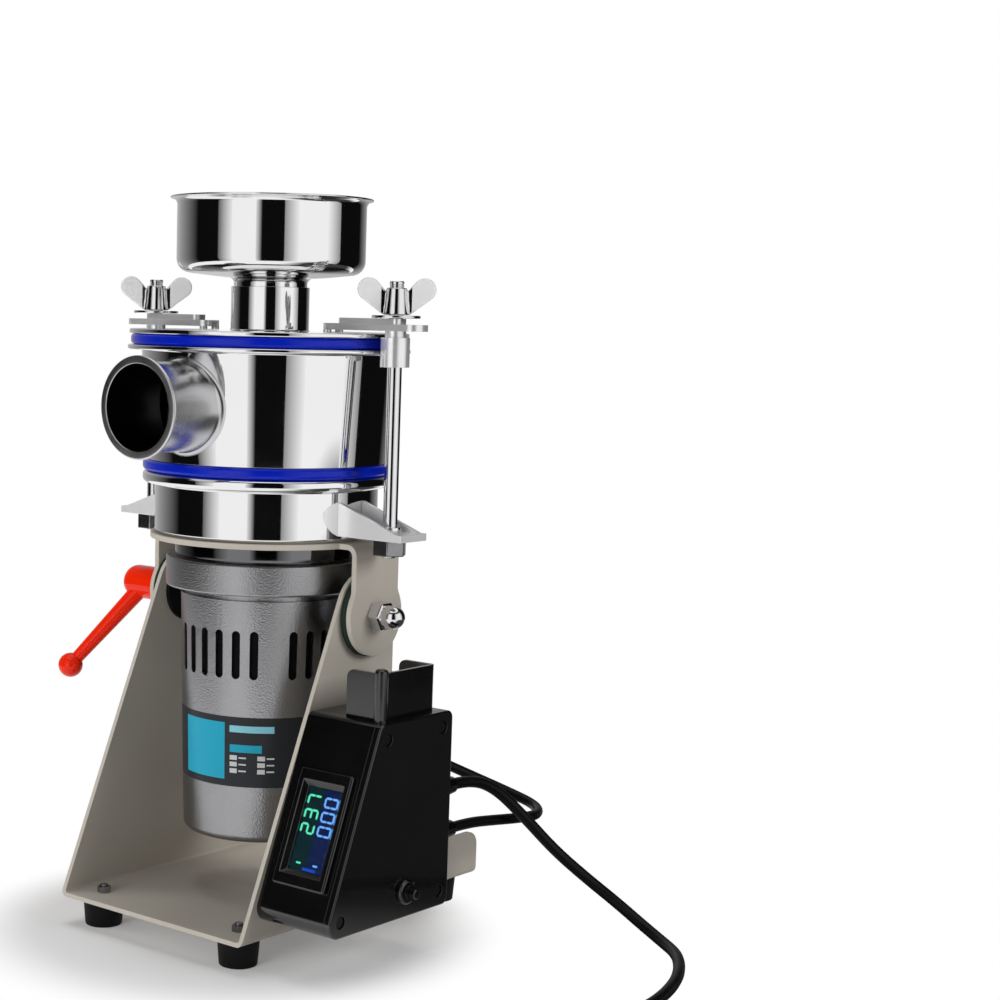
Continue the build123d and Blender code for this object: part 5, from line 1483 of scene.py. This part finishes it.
@dataclass
class Clamps:
    """Ear brackets, threaded rods, swinging arms, washers and wing nuts, in millimetres.

    Args:
        rod_place: Distance of each rod from the axis.
        rod_radius: Its radius.
        rod_span: Its lowest and highest point.
        rod_round: Rounding of its ends.
        rod_turn: Runs round it.
        shoulder: Radius, lower and upper face of the rod's shoulder.
        thread_span: Lowest and highest point of its thread.
        thread_pitch: Rise of one thread.
        thread_cut: Rise from a thread's start to its root, and to its end.
        thread_depth: Depth of the thread.
        washer: Radius, lower and upper face of the washer.
        washer_gap: Room between washer and rod.
        plate_round: Rounding of the shoulder and of the washer.
        bore_round: Rounding of the washer's bore.
        turned_angle: Edges of rods and washers sharper than this stay sharp, in degrees.
        ear_edge: Rounding of the ear brackets.
        arm_edge: Rounding of the arms and of the nuts under the ears.
        nut_voxel: Size of the wing nuts' remesh.
        nut_passes: Rounds of smoothing on them.
        hub_radius: Reach of a wing nut's polished hub.
        wing_angle: Direction in which the wings stand, in degrees.
        wing_face: How squarely a face looks away from a wing before it counts as its flat side.
    """

    rod_place: float = 102.6
    rod_radius: float = 4.5
    rod_span: Flat = (250.5, 420.2)
    rod_round: float = 0.8
    rod_turn: int = 48
    shoulder: Corner = (7.0, 266.5, 270.0)
    thread_span: Flat = (386.2, 419.0)
    thread_pitch: float = 1.25
    thread_cut: Flat = (0.5, 1.0)
    thread_depth: float = 0.55
    washer: Corner = (15.0, 397.7, 399.5)
    washer_gap: float = 0.15
    plate_round: float = 0.5
    bore_round: float = 0.2
    turned_angle: float = 30.0
    ear_edge: float = 0.7
    arm_edge: float = 0.6
    nut_voxel: float = 0.45
    nut_passes: int = 8
    hub_radius: float = 9.5
    wing_angle: float = 41.0
    wing_face: float = 0.75

    def build(self) -> None:
        """Make all the clamping pieces."""
        self.rods()
        self.washers()
        softened("ear_brackets", self.ear_edge)
        softened("rod_nuts", self.arm_edge)
        for side in ("left", "right"):
            softened(f"clamp_arm_{side}", self.arm_edge)
            self.wing_nut(cast(f"wing_nut_{side}", self.nut_voxel, self.nut_passes))

    def wing_nut(self, nut: Object) -> None:
        """Polish a wing nut's hub and the rims of its wings.

        Args:
            nut: The wing nut.
        """
        nut.data.materials.append(BRIGHT_HARDWARE.material())
        turn = math.radians(self.wing_angle)
        across = Vector((math.sin(turn), -math.cos(turn), 0.0))
        for face in nut.data.polygons:
            middle = face.center / MM
            hub = math.hypot(abs(middle.x) - self.rod_place, middle.y) < self.hub_radius
            if hub or abs(face.normal.dot(across)) < self.wing_face:
                face.material_index = 1

    def rods(self) -> None:
        """Turn both rods with their shoulders and threads."""
        thin, (low, high) = self.rod_radius, self.rod_span
        wide, under, over = self.shoulder
        profile: list[Corner] = [
            (0.0, low, 0), (thin, low, self.rod_round), (thin, under, 0), (wide, under, self.plate_round),
            (wide, over, self.plate_round), (thin, over, 0),
        ]
        root, end = self.thread_cut
        level = self.thread_span[0]
        while level + self.thread_pitch < self.thread_span[1]:
            profile += [(thin, level, 0), (thin - self.thread_depth, level + root, 0), (thin, level + end, 0)]
            level += self.thread_pitch
        profile += [(thin, high, self.rod_round), (0.0, high, 0)]
        self.pair("clamp_rods_turned", profile, "clamp_rods")

    def washers(self) -> None:
        """Turn both washers."""
        radius, low, high = self.washer
        bore = self.rod_radius + self.washer_gap
        self.pair("clamp_washers_turned", [
            (bore, low, 0), (radius, low, self.plate_round), (radius, high, self.plate_round),
            (bore, high, self.bore_round),
        ], "clamp_washers")

    def pair(self, name: str, profile: Sequence[Corner], node: str) -> None:
        """Turn one outline on both rods.

        Args:
            name: The piece's name.
            profile: The outline's corners.
            node: The node that it stands for.
        """
        outline = rounded(profile, 3)
        both = joined(*(turned(outline, (place, 0.0), self.rod_turn)
                        for place in (self.rod_place, -self.rod_place)))
        mesh = mesh_from(name, *both, self.turned_angle)
        stand_in(name, mesh, BRIGHT_HARDWARE, Body.HEAD.value, (node,))


@dataclass
class Hopper:
    """Spun feed hopper, in millimetres.

    Args:
        outer: Corners of its outside from spigot to lip, with their rounding.
        inner: Corners of its inside from lip to spigot, with their rounding.
        steps: Runs that the rounding is drawn in.
    """

    outer: Sequence[Corner] = ((23.6, 388.0, 0.2), (23.6, 421.0, 3.4), (60.6, 425.0, 9.0),
                               (60.6, 470.8, 4.0), (65.0, 470.8, 0.5))
    inner: Sequence[Corner] = ((65.0, 472.0, 0.5), (59.4, 472.0, 5.2), (59.4, 426.1, 7.8),
                               (22.4, 422.1, 2.4), (22.4, 388.0, 0.2))
    steps: int = 8

    def build(self) -> None:
        """Turn the hopper."""
        lathe("hopper_spun", rounded([*self.outer, *self.inner], self.steps), "hopper")


@dataclass
class ControlBox:
    """Black control box with its meter, rocker switch, breaker and cord glands, in millimetres.

    Args:
        shell_edge: Rounding of the box and its cover.
        shell_steps: Runs that it is drawn in.
        part_edge: Rounding of what sits on the box.
        lean: How far the front leans back, in degrees.
        window: Width and length of the meter's window.
        window_depth: Its thickness.
        field_lift: How far the lit fields stand over the window's back.
        slab_depth: Thickness of the fields and marks.
        sheet_depth: Thickness of the clear sheet.
        digit: Height and width of a numeral.
        stroke: Width of a numeral's bars.
        bar_gap: Room at each end of a bar.
        bar_depth: How far the bars stand out.
        first: Where the first numeral starts in the reading direction.
        pitch: From one numeral to the next.
        mark: Start, end, lower and upper edge of the mark before a reading.
        mark_lift: How far it stands out.
        glow: Start, end, lower and upper edge of the light at the window's foot.
        glow_lift: How far it stands out.
    """

    shell_edge: float = 1.5
    shell_steps: int = 4
    part_edge: float = 0.5
    lean: float = 21.5
    window: Flat = (25.3, 50.8)
    window_depth: float = 1.5
    field_lift: float = 0.3
    slab_depth: float = 0.25
    sheet_depth: float = 0.5
    digit: Flat = (9.4, 5.4)
    stroke: float = 1.35
    bar_gap: float = 0.1
    bar_depth: float = 0.15
    first: float = -2.6
    pitch: float = 8.8
    mark: Span = (-21.6, -20.4, 3.0, 6.4)
    mark_lift: float = 0.12
    glow: Span = (0.4, 2.2, -7.5, 2.5)
    glow_lift: float = 0.1

    SEGMENTS: ClassVar[dict[str, str]] = {"0": "abcdef", "2": "abged", "3": "abgcd", "7": "abc"}
    READINGS: ClassVar[Sequence[tuple[str, float, Glow]]] = (
        ("237", 1.8, GREEN_DIGIT), ("000", -11.2, BLUE_DIGIT),
    )

    def build(self) -> None:
        """Round the box's edges and light its meter."""
        softened("box_shell box_cover", self.shell_edge, self.shell_steps)
        softened("switch_turret switch_rocker breaker_nut reset_button cord_glands meter_case",
                 self.part_edge)
        self.meter()

    def meter(self) -> None:
        """Lay the lit fields, their numerals and the clear sheet into the meter."""
        low, high = (Vector(corner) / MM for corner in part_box("meter_window"))
        tip = math.radians(self.lean)
        self.reading = Vector((0.0, math.sin(tip), math.cos(tip)))
        self.upward = Vector((-1.0, 0.0, 0.0))
        self.outward = Vector((0.0, -math.cos(tip), math.sin(tip)))
        self.middle = (low + high) / 2
        wide, long = self.window[0] / 2, self.window[1] / 2
        bed = -self.window_depth / 2 + self.field_lift
        self.slab("meter_green_field", (-long, long, 0.0, wide), bed, GREEN_FIELD, ("meter_window",))
        self.slab("meter_blue_field", (-long, long, -wide, 0.0), bed, BLUE_FIELD)
        start, stop, under, over = self.mark
        for row, (text, level, finish) in enumerate(self.READINGS):
            for place, sign in enumerate(text):
                corner = (self.first + place * self.pitch, level, bed)
                self.numeral(f"meter_numeral_{row}_{place}", sign, corner, finish)
            span = (start, stop, level + under, level + over)
            self.slab(f"meter_mark_{row}", span, bed + self.mark_lift, finish)
        start, stop, under, over = self.glow
        self.slab("meter_glow", (start - long, stop - long, under, over), bed + self.glow_lift, EDGE_GLOW)
        self.slab("meter_sheet", (-long, long, -wide, wide), self.window_depth / 2, WINDOW_SHEET,
                  depth=self.sheet_depth)

    def spot(self, along: float, up: float, out: float) -> Vector:
        """A point on the meter, by reading direction, height and distance outwards."""
        return self.middle + self.reading * along + self.upward * up + self.outward * out

    def slab(self, name: str, span: Span, top: float, finish: Dressing, nodes: Sequence[str] = (),
             depth: float | None = None) -> None:
        """Lay one thin slab into the meter.

        Args:
            name: The piece's name.
            span: Its start and end in the reading direction, and its lower and upper edge.
            top: Its outer face.
            finish: Its finish.
            nodes: Nodes that it stands for.
            depth: Its thickness, where it isn't that of the fields.
        """
        start, stop, low, high = span
        plan = [(start, low), (stop, low), (stop, high), (start, high)]
        levels = (top - (depth or self.slab_depth), top)
        solid = prism(*([self.spot(along, up, out) for along, up in plan] for out in levels))
        stand_in(name, mesh_from(name, *solid), finish, Body.STAND.value, nodes)

    def numeral(self, name: str, sign: str, corner: Corner, finish: Glow) -> None:
        """Draw one numeral from its lit bars.

        Args:
            name: The piece's name.
            sign: Which numeral.
            corner: Its start in the reading direction, its lower edge and the field under it.
            finish: Its finish.
        """
        along, level, bed = corner
        tall, wide = self.digit
        half, nib = tall / 2, self.stroke / 2
        ends = {"a": ((0, tall), (wide, tall)), "b": ((wide, half), (wide, tall)),
                "c": ((wide, 0), (wide, half)), "d": ((0, 0), (wide, 0)), "e": ((0, 0), (0, half)),
                "f": ((0, half), (0, tall)), "g": ((0, half), (wide, half))}
        bars: list[Solid] = []
        for bar in self.SEGMENTS[sign]:
            first, last = (Vector(end) for end in ends[bar])
            run = (last - first).normalized()
            side = Vector((-run.y, run.x)) * nib
            first, last = first + run * self.bar_gap, last - run * self.bar_gap
            plan = [first, first + run * nib + side, last - run * nib + side, last, last - run * nib - side,
                    first + run * nib - side]
            bars.append(prism(*([self.spot(along + spot.x, level + spot.y, bed + out) for spot in plan]
                                for out in (0.0, self.bar_depth))))
        stand_in(name, mesh_from(name, *joined(*bars)), finish, Body.STAND.value)


@dataclass
class Cords:
    """Mains cord with its coil, tie and plug, and the lead from box to motor, in millimetres.

    Args:
        plug_edge: Rounding of the plug's edges.
        mains_radius: Radius of the mains cord.
        lead_radius: Radius of the motor lead.
        coil_centre: Middle of the put-away coil.
        coil_outer: Reach of its outer turn.
        coil_step: How much nearer each half turn is.
        coil_rise: From the lower layer to the upper one.
        coil_layer: Half turns in the lower layer.
        coil_tail: Straight end behind the plug.
        points_per_half_turn: Control points on half a turn.
        tie_width: Width of the coil's tie.
        tie_span: Its inner and outer reach from the coil's middle.
        tie_levels: Its lowest and highest inner face.
        tie_depth: Its thickness.
        tie_rounds: Rounding of its lower and upper bends inside, and the same outside.
        mains_route: Control points of the mains cord from the box to the coil.
        lead_route: Control points of the motor lead from box to motor.
    """

    plug_edge: float = 0.8
    mains_radius: float = 3.75
    lead_radius: float = 3.5
    coil_centre: Flat = (338.0, -52.0)
    coil_outer: float = 49.0
    coil_step: float = 4.7
    coil_rise: float = 8.5
    coil_layer: int = 4
    coil_tail: float = 30.0
    points_per_half_turn: int = 9
    tie_width: float = 11.0
    tie_span: Flat = (25.6, 51.4)
    tie_levels: Flat = (0.1, 17.0)
    tie_depth: float = 1.0
    tie_rounds: Span = (3.0, 3.5, 3.4, 4.0)
    mains_route: Sequence[Point] = (
        (123, 45.5, 103), (123, 67.5, 103), (128.5, 88, 94), (140, 105, 74), (153.5, 120.5, 52),
        (170, 134, 34), (190, 141.5, 19.5), (211.5, 140.5, 8.5), (232, 131.5, 3.75), (250, 117, 3.75),
        (264, 97, 3.75), (275, 75, 3.75), (283, 51, 3.75), (288, 25, 3.75), (289.5, -2, 3.75),
        (289, -22.5, 3.75), (289, -44.5, 3.75),
    )
    lead_route: Sequence[Point] = (
        (123, 45.5, 74.5), (123, 65.5, 74.5), (124.5, 90, 72), (127.5, 115, 69.5), (127, 141, 67),
        (112, 161, 67.5), (88.02, 161.05, 73), (67.02, 141.05, 85.5), (49.52, 108.05, 103),
        (34.17, 73.27, 115), (25.72, 55.15, 115),
    )

    def build(self) -> None:
        """Lay both cords."""
        softened("mains_plug", self.plug_edge)
        tie = self.tie()
        mains = self.spline("mains_lead", [*self.mains_route, *self.coil_points()], self.mains_radius)
        dress(mains, CORD_JACKET)
        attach(mains, Body.STAND.value)
        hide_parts("mains_cord", "mains_coil")
        self.motor_lead()

    def coil_points(self) -> list[Point]:
        """Work out the coil's control points, winding in on the floor and out again on top.

        Returns:
            Points in millimetres, from the coil's first turn to the plug.
        """
        half_turns = 2 * self.coil_layer + 1
        joints: list[Vector] = []
        for joint in range(half_turns + 1):
            reach = self.coil_outer - min(joint, half_turns - joint) * self.coil_step
            level = self.mains_radius + (self.coil_rise if joint > self.coil_layer else 0.0)
            side = 1.0 if joint % 2 else -1.0
            joints.append(Vector((self.coil_centre[0] + side * reach, self.coil_centre[1], level)))
        points: list[Point] = []
        step = math.pi / self.points_per_half_turn
        spread = 1.0 / math.cos(step / 2)
        for joint in range(half_turns):
            here, there = joints[joint], joints[joint + 1]
            middle = (here + there) / 2
            arm = here - middle
            swing = Vector((0.0, arm.length * (1.0 if joint % 2 else -1.0), 0.0))
            for index in range(self.points_per_half_turn):
                turn = step * (index + 0.5)
                points.append(middle + (arm * math.cos(turn) + swing * math.sin(turn)) * spread)
        end = joints[-1]
        points += [(end.x, end.y + tail, end.z) for tail in (self.coil_tail / 2, self.coil_tail)]
        return points

    @staticmethod
    def spline(name: str, points: Iterable[Point], radius: float) -> Object:
        """Lay a round cord along control points.

        Args:
            name: The piece's name.
            points: Control points in millimetres.
            radius: Radius in millimetres, or 0 for the bare line.

        Returns:
            The curve object.
        """
        places = [Vector(point) * MM for point in points]
        curve = bpy.data.curves.new(name, "CURVE")
        curve.dimensions = "3D"
        line = curve.splines.new("NURBS")
        line.points.add(len(places) - 1)
        for point, place in zip(line.points, places):
            point.co = (*place, 1.0)
        line.order_u = 3
        line.use_endpoint_u = True
        line.resolution_u = 8
        curve.bevel_depth = radius * MM
        curve.bevel_resolution = 6
        curve.use_fill_caps = radius > 0
        return placed(name, curve)

    def tie(self) -> Object:
        """Wrap the tie round the coil's turns.

        Returns:
            The tie.
        """
        (near, far), (floor, crown) = self.tie_span, self.tie_levels
        low, high, low_skin, high_skin = self.tie_rounds
        more = self.tie_depth
        loop = rounded([(near, floor, low), (far, floor, low), (far, crown, high), (near, crown, high)])
        skin = rounded([(near - more, 0.0, low_skin), (far + more, 0.0, low_skin),
                        (far + more, crown + more, high_skin), (near - more, crown + more, high_skin)])
        half = self.tie_width / 2
        points: list[Point] = []
        for inside, outside in zip(loop, skin):
            for x, (y, z) in ((-half, inside), (half, inside), (half, outside), (-half, outside)):
                points.append((self.coil_centre[0] + x, self.coil_centre[1] - y, z))
        mesh = mesh_from("coil_tie", points, grid_faces(len(loop), 4, True, True))
        return stand_in("coil_tie", mesh, TIE_CLOTH, Body.STAND.value)

    def motor_lead(self) -> None:
        """Make the lead as a tube that bends where the head tilts."""
        line = self.spline("motor_lead_line", self.lead_route, 0.0)
        path = [vertex.co.copy() for vertex in bpy.data.meshes.new_from_object(line).vertices]
        tube = self.spline("motor_lead_tube", self.lead_route, self.lead_radius)
        mesh = bpy.data.meshes.new_from_object(tube)
        for helper in (line, tube):
            bpy.data.objects.remove(helper)
        smooth(mesh, MOULDED_ANGLE)
        lead = placed("motor_flex", mesh)
        dress(lead, CORD_JACKET)
        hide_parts("motor_lead")
        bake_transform(lead, Body.STAND.value, Body.HEAD.value, start=Vector(self.lead_route[1]) * MM,
                 end=Vector(self.lead_route[-1]) * MM)


def main() -> None:
    """Build the picture."""
    logging.basicConfig(level=logging.INFO, format="%(message)s")
    for name, node in frame["nodes"].items():
        dress(node, FINISH_OF_NODE[name])
    for assembly in (Studio(), Stand(), Motor(), Chamber(), Clamps(), Hopper(), ControlBox(), Cords()):
        assembly.build()
        log.info("built %s", type(assembly).__name__)
    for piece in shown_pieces():
        log.info("piece %s", piece.name)


if __name__ == "__main__":
    main()
